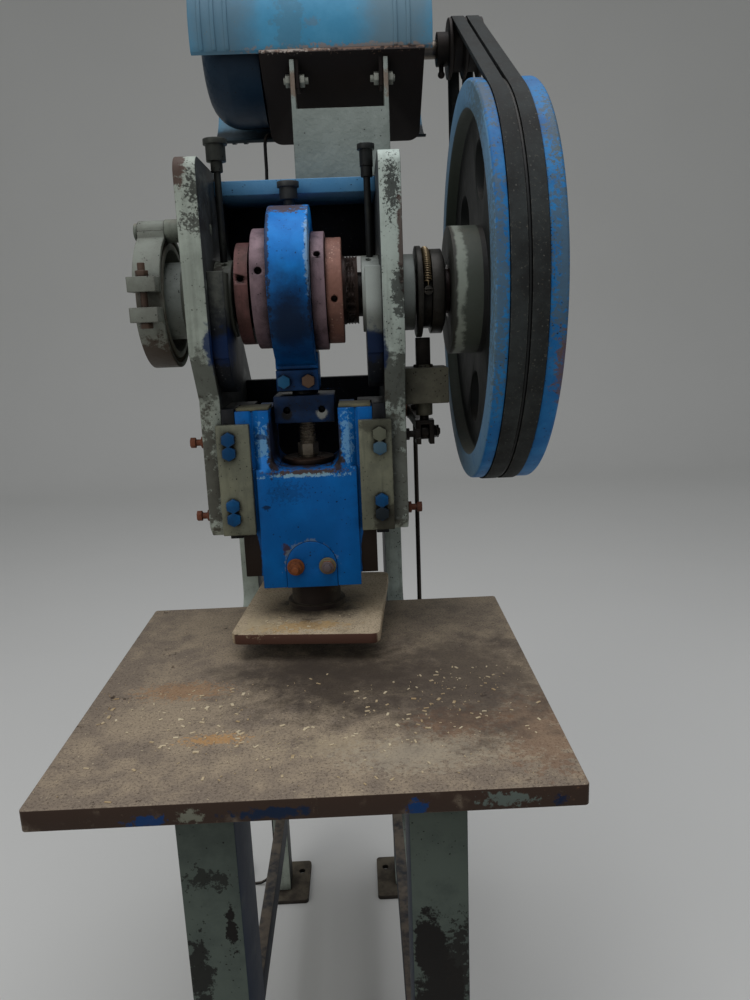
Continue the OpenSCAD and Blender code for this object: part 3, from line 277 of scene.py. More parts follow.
@dataclass(frozen=True)
class StainAndPaintedLight:
    """A ragged patch of another colour, with its place on the machine and its reach in millimetres; most
    are dirt, rust and wear, and a few are painted shade, shadow and highlight.
    """

    centre: Point
    reach: Point
    colour: Rgb
    ragged: float = 0.8
    strength: float = 1.0
    grain: float = 45.0
    soft: float = 0.25

    def mask(self, shader: Shader) -> Value:
        """The patch's mask in a shader tree.

        Args:
            shader: The tree.

        Returns:
            The mask, from 0 to its strength.
        """
        offset = shader.vector("SUBTRACT", shader.place, tuple(c * MM for c in self.centre))
        scaled = shader.vector("MULTIPLY", offset, tuple(1 / (r * MM) for r in self.reach))
        length = shader.vector("LENGTH", scaled, (0, 0, 0), 1)
        torn = (shader.noise(shader.place, self.grain, 7, 0.7) - 0.5) * (self.ragged * 3.2)
        return (length + torn).between(1 + self.soft, 1 - self.soft) * self.strength


def patches(*rows: tuple) -> tuple[StainAndPaintedLight, ...]:
    """Makes a surface's patches of colour: dirt, rust and wear, and a few of painted shade, shadow and
    highlight.

    Args:
        rows: The values of each stain, in the order of its fields.

    Returns:
        The patches, with the one that lies on top of the others last.
    """
    return tuple(StainAndPaintedLight(*row) for row in rows)


@dataclass(frozen=True)
class Tint:
    """Another colour on the faces that look along a direction; several finishes use it for painted shade
    on fronts, sides, inner faces and undersides.
    """

    direction: Point
    colour: Rgb
    strength: float = 1.0

    def mask(self, shader: Shader) -> Value:
        """The tinted faces' mask in a shader tree."""
        cloud = shader.noise(shader.place, 14.0, 5, 0.6).between(0.2, 0.42)
        return shader.facing(self.direction).between(0.6, 0.85) * cloud * self.strength


class Grain(Enum):
    """What the fine relief of a surface is like."""

    CAST = "cast"
    ROLLED = "rolled"
    TURNED = "turned"
    BRUSHED = "brushed"


@dataclass(frozen=True)
class Finish:
    """A worn surface: a coat or bare metal, what time has done to it, and shade painted into its corners
    and onto some faces.
    """

    BROAD: ClassVar[float] = 5.0  # waves a metre in the slow change of colour
    MIDDLE: ClassVar[float] = 30.0
    FINE: ClassVar[float] = 260.0
    GRIT: ClassVar[float] = 300.0
    DOTS: ClassVar[float] = 320.0

    name: str
    colour: Rgb
    second: Rgb
    under: Rgb = (66, 46, 36)
    chips: float = 0.0
    chip_scale: float = 70.0
    edge_wear: float = 0.0
    spots: float = 0.0
    spot_colour: Rgb = (24, 20, 18)
    grit: float = 0.0
    streaks: float = 0.0
    streak_colour: Rgb = (40, 34, 30)
    # darkening in corners from an AO mask: dirt and painted shade
    grime_and_shade: float = 0.0
    grime_and_shade_colour: Rgb = (15, 13, 12)
    dust: float = 0.0
    dust_colour: Rgb = (150, 138, 122)
    roughness: float = 0.5
    metallic: float = 0.0
    grain: Grain = Grain.ROLLED
    bump: float = 0.35
    axis_z: float = CRANK_Z
    tints: tuple[Tint, ...] = ()
    stains_and_painted_light: tuple[StainAndPaintedLight, ...] = ()

    def relief(self, shader: Shader, middle: Value) -> Value:
        """The height of the surface's grain.

        Args:
            shader: The finish's tree.
            middle: Its noise of middle size.

        Returns:
            The height, 1 for a millimetre.
        """
        fine = shader.noise(shader.place, self.FINE, 3)
        if self.grain is Grain.CAST:
            return shader.noise(shader.place, 110.0, 5, 0.6) * 1.6 + middle
        if self.grain is Grain.TURNED:
            parts = self.polar(shader)
            return shader.noise(shader.stretch(parts, (900, 900, 6)), 1.0, 3) * 0.9 + fine * 0.2
        if self.grain is Grain.BRUSHED:
            return shader.noise(shader.stretch(shader.place, (700, 700, 20)), 1.0, 3) * 0.6 + fine * 0.3
        return fine * 0.5 + middle * 0.8

    def polar(self, shader: Shader) -> Value:
        """The place as its X, its distance from the turned axis and a small share of its height.

        Args:
            shader: The finish's tree.

        Returns:
            The place, for patterns that run round the axis.
        """
        moved = shader.vector("SUBTRACT", shader.place, (0, 0, self.axis_z))
        split = shader.node("ShaderNodeSeparateXYZ", None, {0: moved})
        x, y, z = (split.twin(i) for i in range(3))
        radius = shader.node("ShaderNodeMath", {"operation": "SQRT"}, {0: y * y + z * z})
        return shader.node("ShaderNodeCombineXYZ", None, {0: x, 1: radius, 2: z})

    def material(self) -> bpy.types.Material:
        """Builds the finish's material, or returns the one that it built before.

        Returns:
            The material, which every piece in this finish shares.
        """
        if self.name in MADE:
            return MADE[self.name]
        shader = Shader(self.name)
        MADE[self.name] = shader.material
        place = shader.place
        broad = shader.noise(place, self.BROAD, 3)
        middle = shader.noise(place, self.MIDDLE, 6, 0.65)
        edge = shader.edge(0.003) if self.edge_wear else 0.0
        colour = shader.mix((broad * 0.5 + middle * 0.5).between(0.4, 0.6), self.colour, self.second)
        if self.spots:
            dots = shader.spots(self.DOTS, self.spots * 1.6) * middle.between(0.42, 0.58)
            colour = shader.mix(dots, colour, self.spot_colour)
        if self.grit:
            grains = shader.noise(place, self.GRIT, 6, 0.85)
            colour = shader.mix(grains.between(0.5, 0.62) * self.grit, colour, (44, 36, 30))
            colour = shader.mix(grains.between(0.42, 0.3) * self.grit, colour, (190, 176, 150))
        for tint in self.tints:
            colour = shader.mix(tint.mask(shader), colour, tint.colour)
        if self.streaks:
            runs = shader.noise(shader.stretch(place, (95, 95, 6)), 1.0, 4).between(0.5, 0.72)
            colour = shader.mix(runs * self.streaks, colour, self.streak_colour)
        rough = middle * 0.2 + (self.roughness - 0.1)
        height = self.relief(shader, middle)
        if self.chips or self.edge_wear:
            torn = shader.noise(place, self.chip_scale, 9, 0.72) + (broad - 0.5) * 0.35
            limit = 0.74 - 0.3 * self.chips
            chip = (torn + edge * (0.3 * self.edge_wear)).between(limit, limit + 0.03)
            shade = tuple(int(c * 0.55) for c in self.under)
            bare = shader.mix(middle.between(0.35, 0.65), self.under, shade)
            colour = shader.mix(chip, colour, bare)
            rough = rough + chip * 0.15
            height = height - chip * 0.5
        for stain_and_painted_light in self.stains_and_painted_light:
            colour = shader.mix(stain_and_painted_light.mask(shader), colour, stain_and_painted_light.colour)
        if self.dust:
            settled = shader.facing((0, 0, 1)).between(0.3, 0.9) * middle.between(0.3, 0.62)
            colour = shader.mix(settled * self.dust, colour, self.dust_colour)
            rough = rough + settled * (0.25 * self.dust)
        # Darkening where the AO node finds nearby surfaces: dirt and painted shade in corners, recesses
        # and between parts.
        if self.grime_and_shade:
            dark = (shader.cavity(0.03) * (0.35 + middle * 1.9)).between(0.18, 0.8) * self.grime_and_shade
            colour = shader.mix(dark, colour, self.grime_and_shade_colour)
            rough = rough - dark * 0.12
        return shader.close(colour, rough, self.metallic, height, self.bump)


class Shop:
    """Modelling steps that several sub-assemblies share."""

    @staticmethod
    def only(piece: bpy.types.Object) -> None:
        """Selects one object and makes it active.

        Args:
            piece: The object.
        """
        bpy.ops.object.select_all(action="DESELECT")
        piece.select_set(True)
        bpy.context.view_layer.objects.active = piece

    @classmethod
    def settle(cls, piece: bpy.types.Object, name: str, smooth: float = 35.0) -> bpy.types.Object:
        """Ends a piece.

        Args:
            piece: The object that was modelled.
            name: Its name.
            smooth: The angle in degrees below which faces shade as one.

        Returns:
            The same object, at the origin with its place in its mesh.
        """
        cls.only(piece)
        bpy.ops.object.transform_apply(location=True, rotation=True, scale=True)
        bpy.ops.object.shade_smooth_by_angle(angle=math.radians(smooth))
        piece.name = name
        piece.data.name = name
        return piece

    @classmethod
    def modify(cls, piece: bpy.types.Object, kind: str, **settings: object) -> None:
        """Adds a modifier with its settings and applies it.

        Args:
            piece: The object that it changes.
            kind: The modifier's type.
            settings: Values of the modifier by name.
        """
        cls.only(piece)
        modifier = piece.modifiers.new(kind.lower(), kind)
        for key, value in settings.items():
            setattr(modifier, key, value)
        bpy.ops.object.modifier_apply(modifier=modifier.name)

    @classmethod
    def bevel(cls, piece: bpy.types.Object, width: float, segments: int = 2) -> None:
        """Rounds a piece's sharp edges by a width in metres."""
        cls.modify(piece, "BEVEL", width=width, segments=segments, limit_method="ANGLE",
                   angle_limit=math.radians(38), use_clamp_overlap=False)

    @classmethod
    def join(cls, pieces: list[bpy.types.Object]) -> bpy.types.Object:
        """Joins pieces into the first one.

        Args:
            pieces: The objects, the one that stays first.

        Returns:
            The joined object.
        """
        bpy.ops.object.select_all(action="DESELECT")
        for piece in pieces:
            piece.select_set(True)
        bpy.context.view_layer.objects.active = pieces[0]
        bpy.ops.object.join()
        return bpy.context.view_layer.objects.active

    @classmethod
    def box(cls, low: Point, high: Point, bevel: float = 0.0) -> bpy.types.Object:
        """A block between two corners in metres, with its edges rounded.

        Args:
            low: The corner with the lowest X, Y and Z.
            high: The corner with the highest.
            bevel: Width of the rounding.

        Returns:
            The block.
        """
        centre = [(a + b) / 2 for a, b in zip(low, high)]
        bpy.ops.object.select_all(action="DESELECT")
        size = [b - a for a, b in zip(low, high)]
        bpy.ops.mesh.primitive_cube_add(size=1, location=centre, scale=size)
        piece = bpy.context.active_object
        bpy.ops.object.transform_apply(location=True, rotation=True, scale=True)
        if bevel:
            cls.bevel(piece, bevel, 3)
        return piece

    @classmethod
    def rod(cls, start: Point, end: Point, radius: float, bevel: float = 0.0, sides: int = 24,
            taper: float = 1.0) -> bpy.types.Object:
        """A round bar between two points.

        Args:
            start: The centre of its first end.
            end: The centre of its last end.
            radius: Its radius at the first end.
            bevel: Width of its rounded ends.
            sides: Faces round it.
            taper: Its radius at the last end against the first.

        Returns:
            The bar.
        """
        a, b = Vector(start), Vector(end)
        turn = (b - a).to_track_quat("Z", "Y").to_euler()
        bpy.ops.object.select_all(action="DESELECT")
        bpy.ops.mesh.primitive_cone_add(vertices=sides, radius1=radius, radius2=radius * taper,
                                        depth=(b - a).length, location=(a + b) / 2, rotation=turn)
        piece = bpy.context.active_object
        bpy.ops.object.transform_apply(location=True, rotation=True, scale=True)
        if bevel:
            cls.bevel(piece, bevel, 2)
        return piece

    @staticmethod
    def line(name: str, points: list[Point], radius: float) -> bpy.types.Object:
        """A round line through points, as a curve.

        Args:
            name: Name of the curve.
            points: Its points in order, in metres.
            radius: Half its thickness.

        Returns:
            The curve object.
        """
        curve = bpy.data.curves.new(name, "CURVE")
        curve.dimensions = "3D"
        curve.bevel_depth = radius
        curve.bevel_resolution = 3
        curve.use_fill_caps = True
        spline = curve.splines.new("POLY")
        spline.points.add(len(points) - 1)
        for spot, point in zip(spline.points, points):
            spot.co = (*point, 1)
        piece = bpy.data.objects.new(name, curve)
        bpy.context.scene.collection.objects.link(piece)
        return piece

    @classmethod
    def wire(cls, points: list[Point], radius: float) -> bpy.types.Object:
        """A round wire through points, as a mesh.

        Args:
            points: Its points in order, in metres.
            radius: Half its thickness.

        Returns:
            The wire.
        """
        piece = cls.line("wire", points, radius)
        cls.only(piece)
        bpy.ops.object.convert(target="MESH")
        return bpy.context.view_layer.objects.active

    @classmethod
    def refined(cls, node: str, bevel: float = 0.0) -> bpy.types.Object:
        """A copy of a solid with merged faces and rounded edges, which stands for it.

        Args:
            node: The solid's name.
            bevel: Width of the rounding in metres.

        Returns:
            The new piece, riding on the solid's body.
        """
        source = frame["nodes"][node]
        piece = bpy.data.objects.new(node + "_dressed", source.data.copy())
        bpy.context.scene.collection.objects.link(piece)
        piece.data.materials.clear()
        cls.only(piece)
        bpy.ops.object.mode_set(mode="EDIT")
        bpy.ops.mesh.select_all(action="SELECT")
        bpy.ops.mesh.remove_doubles(threshold=0.00001)
        bpy.ops.mesh.dissolve_limited(angle_limit=math.radians(0.6))
        bpy.ops.object.mode_set(mode="OBJECT")
        if bevel:
            cls.bevel(piece, bevel)
        cls.settle(piece, node + "_dressed")
        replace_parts(piece, node)
        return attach(piece, source["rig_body"])

    @staticmethod
    def coat(piece: bpy.types.Object, finish: Finish) -> bpy.types.Object:
        """Gives a piece its finish.

        Args:
            piece: The object.
            finish: What it is coated with.

        Returns:
            The same object.
        """
        piece.data.materials.clear()
        piece.data.materials.append(finish.material())
        LOG.info("%s in %s", piece.name, finish.name)
        return piece


class Assembly:
    """A group of solids that get rounded edges, by so many millimetres, and a finish each."""

    coats: ClassVar[dict[str, tuple[float, Finish]]] = {}

    def build(self) -> None:
        """Dresses the group's solids, then adds its own pieces."""
        for node, (bevel, finish) in self.coats.items():
            Shop.coat(Shop.refined(node, bevel * MM), finish)
        self.details()

    def details(self) -> None:
        """Pieces that only this group has."""


# Near black, for the back plate and the cross member.
NEAR_BLACK = Finish(
    "near_black_finish", (20, 21, 25), (30, 32, 38), spots=0.05, spot_colour=(70, 72, 74), grime_and_shade=0.6)
BRONZE = Finish(
    "bearing_bronze", (150, 110, 62), (122, 86, 46), grime_and_shade=0.8, roughness=0.35, metallic=0.8,
    grain=Grain.TURNED, bump=0.15)
LEG_PAINT = Finish(
    "leg_paint", (78, 87, 80), (66, 74, 69), under=(20, 18, 16), chips=0.14, chip_scale=45,
    edge_wear=0.8, spots=0.06, grime_and_shade=0.7,
    tints=(Tint((1, 0, 0), (20, 34, 58), 0.95), Tint((-1, 0, 0), (26, 36, 56), 0.9)),
    stains_and_painted_light=patches(
        ((138, -446, 560), (18, 20, 45), (20, 18, 16), 0.9, 1, 50, 0.1),
        ((150, -446, 490), (30, 20, 60), (22, 20, 18), 0.8, 1, 50, 0.1),
        ((170, -446, 540), (14, 20, 50), (24, 21, 18), 1.8, 0.9, 130, 0.1),
        ((-88, -446, 600), (6, 20, 30), (20, 18, 16), 1.3, 1, 70, 0.1),
        ((-128, -446, 540), (12, 20, 50), (20, 18, 16), 1.3, 0.9, 60, 0.1),
        ((-112, -446, 665), (20, 20, 12), (24, 22, 20), 1.9, 0.8, 120, 0.1),
        ((0, -400, 60), (300, 300, 160), (44, 38, 32), 0.8, 0.85, 18, 0.5)))
DISC_STEEL = Finish(
    "disc_steel", (140, 118, 124), (110, 92, 98), under=(60, 48, 46), chips=0.15, edge_wear=0.5,
    spots=0.06, streaks=0.3, grime_and_shade=0.9, metallic=0.2, grain=Grain.TURNED, bump=0.3)
DARK_STEEL = Finish(
    "oiled_steel", (52, 48, 44), (38, 34, 31), under=(86, 72, 58), chips=0.1, edge_wear=0.6, spots=0.06,
    grime_and_shade=0.8, roughness=0.4, metallic=0.55, bump=0.3)
BRIGHT_STEEL = Finish(
    "worn_steel", (128, 120, 110), (96, 86, 76), spots=0.08, spot_colour=(70, 44, 30), grime_and_shade=0.7,
    roughness=0.38, metallic=0.8, grain=Grain.TURNED, bump=0.2)
GREY = Finish(
    "grey_green_paint", (122, 128, 117), (104, 110, 101), chips=0.22, edge_wear=0.9, spots=0.05,
    streaks=0.25, grime_and_shade=0.9, dust=0.3, grain=Grain.CAST, bump=0.3)
RUSTY_STEEL = Finish(
    "rusty_steel", (104, 72, 56), (78, 52, 42), under=(44, 32, 27), chips=0.3, edge_wear=0.3, spots=0.1,
    grime_and_shade=0.6, roughness=0.68, metallic=0.25, bump=0.5)


@dataclass
class SideFrame(Assembly):
    """The two side plates with their cross pieces, bearings and motor bracket."""

    weld_x: float = 0.1185
    weld_start: float = 0.03
    weld_step: float = 0.0073
    weld_top: float = 1.4725
    boss_inner: float = -0.1645
    boss_outer: float = -0.200
    boss_radius: float = 0.055
    bore_radius: float = 0.0375
    bore_shift: float = 0.0045

    coats = {
        "side_plate_left": (1.6, Finish(
            "left_plate_paint", (172, 181, 170), (150, 158, 148), under=(46, 42, 37), chips=0.2,
            chip_scale=170, edge_wear=0.7, spots=0.06, streaks=0.2, grime_and_shade=0.8, grain=Grain.CAST,
            bump=0.3,
            # The +X tint is painted shade on this plate's inner face.
            tints=(Tint((1, 0, 0), INNER_FACE_SHADE, 0.9), Tint((-1, 0, 0), (98, 104, 97), 0.6)),
            stains_and_painted_light=patches(
                ((-146, -100, 1474), (13, 60, 34), (70, 46, 38), 1.1, 0.9, 110),
                ((-124, -90, 1440), (10, 50, 22), (34, 32, 29), 1.9, 0.85, 230),
                ((-125, -100, 1400), (20, 40, 12), (40, 37, 34), 1.9, 0.8, 230),
                ((-134, -90, 1190), (50, 40, 40), (46, 44, 38), 0.9, 0.7, 70),
                ((-140, -70, 1050), (12, 20, 100), (54, 46, 38), 1.2, 0.8, 80),
                ((-120, -70, 1235), (8, 80, 30), (10, 40, 84), 0.9, 0.9)))),
        "side_plate_right": (1.6, Finish(
            "right_plate_paint", (184, 196, 188), (160, 170, 162), under=(40, 37, 33), chips=0.24,
            chip_scale=190, edge_wear=0.7, spots=0.14, streaks=0.3, grime_and_shade=0.8, roughness=0.52,
            grain=Grain.CAST, bump=0.4,
            # The -X tint is painted shade on this plate's inner face.
            tints=(Tint((-1, 0, 0), INNER_FACE_SHADE, 0.9), Tint((1, 0, 0), (92, 96, 88), 0.6)),
            stains_and_painted_light=patches(
                ((136, -112, 1435), (9, 20, 32), (24, 22, 21), 1.9, 0.85, 260),
                ((147, -112, 1360), (5, 20, 55), (70, 40, 34), 1.2, 0.8, 85),
                ((142, -112, 1300), (10, 20, 30), (30, 28, 26), 1.7, 0.8, 130),
                ((134, -90, 1180), (50, 50, 45), (44, 42, 36), 0.9, 0.8, 70),
                ((134, -80, 1030), (40, 30, 110), (58, 52, 44), 1.2, 0.75, 60),
                ((120, -70, 1225), (6, 60, 30), (10, 34, 70), 0.9, 0.9)))),
        "tie_plate": (1.2, Finish(
            "tie_plate_paint", (74, 130, 172), (90, 142, 180), chips=0.2, edge_wear=0.9, spots=0.08,
            grime_and_shade=0.5, dust=0.3)),
        "back_plate": (0.8, NEAR_BLACK),
        "cross_member": (0.8, NEAR_BLACK),
        "bearing_housings": (1.2, Finish(
            "bearing_paint", (28, 32, 40), (20, 24, 30), spots=0.08, spot_colour=(70, 72, 74),
            grime_and_shade=0.4, roughness=0.48, grain=Grain.CAST, bump=0.3,
            stains_and_painted_light=patches(
                ((0, 0, AXIS), (FAR, 58, 58), (98, 101, 92), 0.06, 1, 90, 0.06),
                ((150, 0, AXIS), (150, FAR, 56.5), (108, 112, 106), 0.06, 1, 90, 0.06),
                # Soft lighter band a little above the axis: a painted highlight that makes the flat pad
                # face look like a lit round boss.
                ((150, 0, 1313), (150, FAR, 36), (158, 165, 160), 0.06, 1, 90, 0.45),
                ((-105, -60, 1318), (22, 40, 50), (84, 86, 78), 0.5, 0.9, 60, 0.5),
                ((-112, -50, 1346), (8, 30, 16), (40, 36, 30), 1.2, 0.8, 110),
                ((-105, -70, 1235), (22, 50, 26), (8, 34, 72), 0.7, 0.9),
                ((105, -70, 1235), (22, 50, 26), (8, 30, 62), 0.7, 0.9)))),
        "bearing_bushes": (0.6, BRONZE),
        "motor_bracket": (1, Finish(
            "bracket_paint", (140, 148, 142), (128, 136, 130), chips=0.05, edge_wear=0.7, spots=0.03,
            grime_and_shade=0.4, grain=Grain.CAST, bump=0.9,
            stains_and_painted_light=patches(
                ((0, 130, 1630), (30, 80, 20), (110, 84, 66), 1.2, 0.7),
                ((144, 130, 1630), (30, 80, 20), (112, 86, 68), 1.2, 0.7)))),
        "clutch_bracket": (1.2, Finish(
            "clutch_block_paint", (112, 110, 94), (90, 88, 76), chips=0.2, edge_wear=1, spots=0.12,
            grime_and_shade=0.8, bump=0.4)),
        "grease_cups": (0.8, Finish(
            "grease_cup_steel", (44, 46, 46), (62, 64, 60), chips=0.1, edge_wear=0.8, spots=0.1,
            grime_and_shade=0.5, roughness=0.45, metallic=0.4)),
    }

    def details(self) -> None:
        """Weld beads where the tie plate meets the side plates, and the boss inside the brake drum."""
        x, start, step, z = self.weld_x, self.weld_start, self.weld_step, self.weld_top
        beads = [Weld.blob((side * x, start + step * k, z), (0.0042, 0.0052, 0.0036), k)
                 for side in (-1, 1) for k in range(20)]
        Weld.finish("tie_plate_welds", beads, "frame")
        inner, outer, shift = self.boss_inner, self.boss_outer, self.bore_shift
        boss = Shop.rod((inner, 0, CRANK_Z), (outer, 0, CRANK_Z), self.boss_radius, 0.0012, 72)
        bore = Shop.rod((inner + shift, 0, CRANK_Z), (outer - shift, 0, CRANK_Z), self.bore_radius,
                        0.0, 72)
        Shop.modify(boss, "BOOLEAN", operation="DIFFERENCE", object=bore, solver="EXACT")
        bpy.data.objects.remove(bore)
        paint = Finish("boss_paint", (150, 156, 150), (132, 138, 132), chips=0.08, edge_wear=0.8,
                       spots=0.08, grime_and_shade=0.3, grain=Grain.CAST, bump=0.3)
        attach(Shop.coat(Shop.settle(boss, "brake_side_boss"), paint), "frame")


class Weld:
    """Beads of weld metal, laid as overlapping scales."""

    FINISH = Finish("weld_metal", (92, 96, 92), (66, 58, 52), chips=0.3, spots=0.1, grime_and_shade=0.6,
                    roughness=0.55, metallic=0.2, bump=0.6)

    @staticmethod
    def blob(spot: Point, reach: Point, turn: int) -> bpy.types.Object:
        """One scale of the bead at a spot, turned a little from the one before.

        Args:
            spot: Its centre.
            reach: Half its size along X, Y and Z.
            turn: Its number in the bead, which sets how it is turned.

        Returns:
            The scale.
        """
        bpy.ops.object.select_all(action="DESELECT")
        tip = (0.3, 0.2 * (turn % 3), 0.4 * (turn % 5))
        bpy.ops.mesh.primitive_uv_sphere_add(segments=10, ring_count=6, radius=1, location=spot,
                                             scale=reach, rotation=tip)
        return bpy.context.active_object

    @classmethod
    def finish(cls, name: str, beads: list[bpy.types.Object], body: str) -> None:
        """Joins the scales into one piece on a body."""
        piece = Shop.settle(Shop.join(beads), name, 60)
        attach(Shop.coat(piece, cls.FINISH), body)


@dataclass
class Stand(Assembly):
    """The table with its legs, rails, feet and the sawdust that lies on it."""

    table_top: float = 0.780
    plate_top: float = 0.823
    leg_top: float = 0.755
    leg_front: float = -0.445

    coats = {
        "table_plate": (1.2, Finish(
            "table_steel", (162, 146, 124), (130, 117, 103), under=(100, 84, 70), chips=0.3,
            chip_scale=34, edge_wear=0.2, spots=0.02, spot_colour=(194, 178, 150), grit=0.75, grime_and_shade=0.5,
            roughness=0.6, metallic=0.1, bump=0.45,
            # The darker front and side faces are painted shade.
            tints=(Tint((0, -1, 0), (58, 44, 36)), Tint((-1, 0, 0), (54, 40, 34)),
                   Tint((1, 0, 0), (54, 40, 34))),
            stains_and_painted_light=patches(
                ((-109, -348, 780), (34, 10, 20), (196, 146, 84), 2.2, 0.55, 190),
                ((-174, -215, 780), (50, 22, 20), (158, 116, 76), 2, 0.5, 150),
                ((36, -373, 780), (50, 20, 20), (178, 162, 134), 2.2, 0.4, 190),
                ((130, -400, 780), (70, 30, 20), (172, 162, 142), 2, 0.45, 140),
                ((190, -330, 780), (50, 30, 20), (124, 88, 64), 1.7, 0.55, 110),
                ((280, -360, 780), (40, 80, 20), (124, 92, 70), 1.6, 0.5, 90),
                ((40, -200, 780), (110, 100, 20), (56, 48, 41), 1, 0.8, 34, 0.7),
                ((210, -220, 780), (120, 130, 20), (82, 72, 64), 1, 0.75, 26, 0.6),
                ((-20, -160, 780), (100, 40, 20), (70, 62, 55), 0.9, 0.7, 22, 0.6),
                ((-159, -476, 761), (18, 10, 6), DEEP_BLUE, 1.6, 0.9, 130),
                ((-115, -476, 764), (12, 10, 7), (120, 122, 108), 1.7, 0.8, 150),
                ((-28, -476, 764), (36, 10, 6), (8, 34, 62), 1.4, 0.9, 110),
                ((125, -476, 762), (10, 10, 10), DEEP_BLUE, 1.4, 0.95, 120),
                ((222, -476, 768), (24, 10, 7), (96, 108, 102), 1.7, 0.8, 150),
                ((277, -476, 763), (8, 10, 6), (10, 30, 60), 1.5, 0.9, 130)))),
        "front_leg_left": (1.6, LEG_PAINT),
        "front_leg_right": (1.6, LEG_PAINT),
        "side_rails": (1, Finish(
            "rail_paint", (62, 66, 72), (48, 50, 56), under=(120, 110, 98), chips=0.3, edge_wear=1,
            grime_and_shade=0.7, dust=0.75, dust_colour=(142, 130, 116), roughness=0.55,
            tints=(Tint((1, 0, 0), (24, 30, 44), 0.8), Tint((-1, 0, 0), (26, 32, 46), 0.8)))),
        "foot_plates": (1.2, Finish(
            "foot_steel", (62, 56, 50), (46, 42, 38), chips=0.3, grime_and_shade=0.7, dust=0.7,
            dust_colour=(112, 104, 90), roughness=0.7, bump=0.5)),
    }

    def details(self) -> None:
        """Welds at the legs' tops, and sawdust on the table and the press plate."""
        y, z, step = self.leg_front - 0.0006, self.leg_top - 0.001, 0.007
        beads = [Weld.blob((x0 + 0.004 + step * k, y, z), (0.0048, 0.0036, 0.0040), k)
                 for x0 in (-0.140, 0.117) for k in range(9)]
        Weld.finish("leg_welds", beads, "frame")
        draw = random.Random(11)
        heaps = [((-0.109, -0.348), 0.04, 46), ((-0.19, -0.25), 0.07, 80), ((0.06, -0.39), 0.09, 60),
                 ((0.17, -0.32), 0.08, 60), ((0.20, -0.22), 0.06, 70), ((0.0, -0.30), 0.22, 130)]
        room = (-0.285, 0.300, -0.468, -0.175)
        self.sawdust("table_sawdust", draw, heaps, self.table_top, "frame", room)
        heaps = [((-0.02, -0.11), 0.05, 70), ((-0.06, -0.10), 0.03, 40)]
        room = (-0.095, 0.095, -0.125, -0.06)
        self.sawdust("plate_sawdust", draw, heaps, self.plate_top, "ram", room)

    @staticmethod
    def sawdust(name: str, draw: random.Random, heaps: list, level: float, body: str,
                room: tuple[float, float, float, float]) -> None:
        """Scatters flat chips of wood.

        Args:
            name: Name of the piece.
            draw: Source of the chips' places.
            heaps: Centre, spread and number of chips of each heap.
            level: Height of what they lie on.
            body: The body that carries them.
            room: Lowest and highest X and Y that a chip may have.
        """
        pattern = Shop.box((-0.5, -0.5, 0.0), (0.5, 0.5, 1.0))
        Shop.only(pattern)
        bpy.ops.object.mode_set(mode="EDIT")
        bpy.ops.mesh.select_all(action="SELECT")
        bpy.ops.mesh.subdivide(number_cuts=1)
        bpy.ops.object.mode_set(mode="OBJECT")
        for vertex in pattern.data.vertices:
            vertex.co.z += 0.6 * (0.25 - vertex.co.x ** 2)
        chips = []
        for (x0, y0), spread, count in heaps:
            for _ in range(count):
                x, y = draw.gauss(x0, spread), draw.gauss(y0, spread * 0.6)
                if not (room[0] < x < room[1] and room[2] < y < room[3]):
                    continue
                long = 0.0014 + 0.0062 * draw.random() ** 2.5
                wide = long * draw.uniform(0.28, 0.6)
                chip = bpy.data.objects.new("chip", pattern.data.copy())
                bpy.context.scene.collection.objects.link(chip)
                turn = Matrix.Rotation(draw.uniform(0, 6.3), 4, "Z")
                size = Matrix.Diagonal((long, wide, 0.0006, 1))
                chip.matrix_world = Matrix.Translation((x, y, level)) @ turn @ size
                chips.append(chip)
        bpy.data.objects.remove(pattern)
        piece = Shop.settle(Shop.join(chips), name, 30)
        wood = Finish(name + "_wood", (206, 192, 162), (164, 140, 104), under=(228, 216, 190),
                      chips=0.4, chip_scale=40, roughness=0.8, bump=0.2)
        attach(Shop.coat(piece, wood), body)


class Guides(Assembly):
    """Guide blocks, gib plates, and the frame's bolts and set screws."""

    coats = {
        "guide_blocks": (0.8, Finish(
            "guide_block_paint", (34, 38, 44), (24, 26, 30), chips=0.1, spots=0.08, grime_and_shade=0.8,
            roughness=0.45)),
        "gib_plates": (1.2, Finish(
            "gib_plate_paint", (122, 123, 104), (102, 104, 90), under=(58, 58, 48), chips=0.3,
            chip_scale=150, edge_wear=0.8, spots=0.05, streaks=0.35, streak_colour=(60, 62, 54),
            grime_and_shade=0.9, bump=0.3,
            stains_and_painted_light=patches(
                ((100, -84, 1120), (30, 10, 12), (62, 62, 52), 1, 0.7),
                ((120, -84, 975), (20, 10, 20), (46, 44, 38), 1, 0.8)))),
        "frame_bolts": (0.7, Finish(
            "frame_bolt_paint", (10, 76, 124), (8, 58, 98), under=(84, 82, 72), chips=0.14,
            edge_wear=0.9, grime_and_shade=0.8, roughness=0.45,
            stains_and_painted_light=patches(
                ((109, -90, 1105), (14, 20, 13), (92, 94, 80), 0.2),
                ((109, -90, 1085), (14, 20, 9), (70, 96, 110), 0.2, 0.9),
                ((109, -90, 987), (14, 20, 10), (30, 38, 44), 0.2),
                ((72, 136, 1634), (120, 30, 30), (146, 148, 138), 0.2),
                ((-202, -110, 1303), (40, 50, 70), (78, 62, 52), 0.3)))),
        "set_screws": (0.6, Finish(
            "set_screw_rust", (122, 74, 54), (92, 58, 46), under=(140, 128, 116), chips=0.12,
            edge_wear=0.6, grime_and_shade=0.6, roughness=0.6, metallic=0.2, bump=0.5,
            stains_and_painted_light=patches(
                ((160, -46, 1097), (30, 20, 20), (34, 30, 28), 0.2)))),
    }


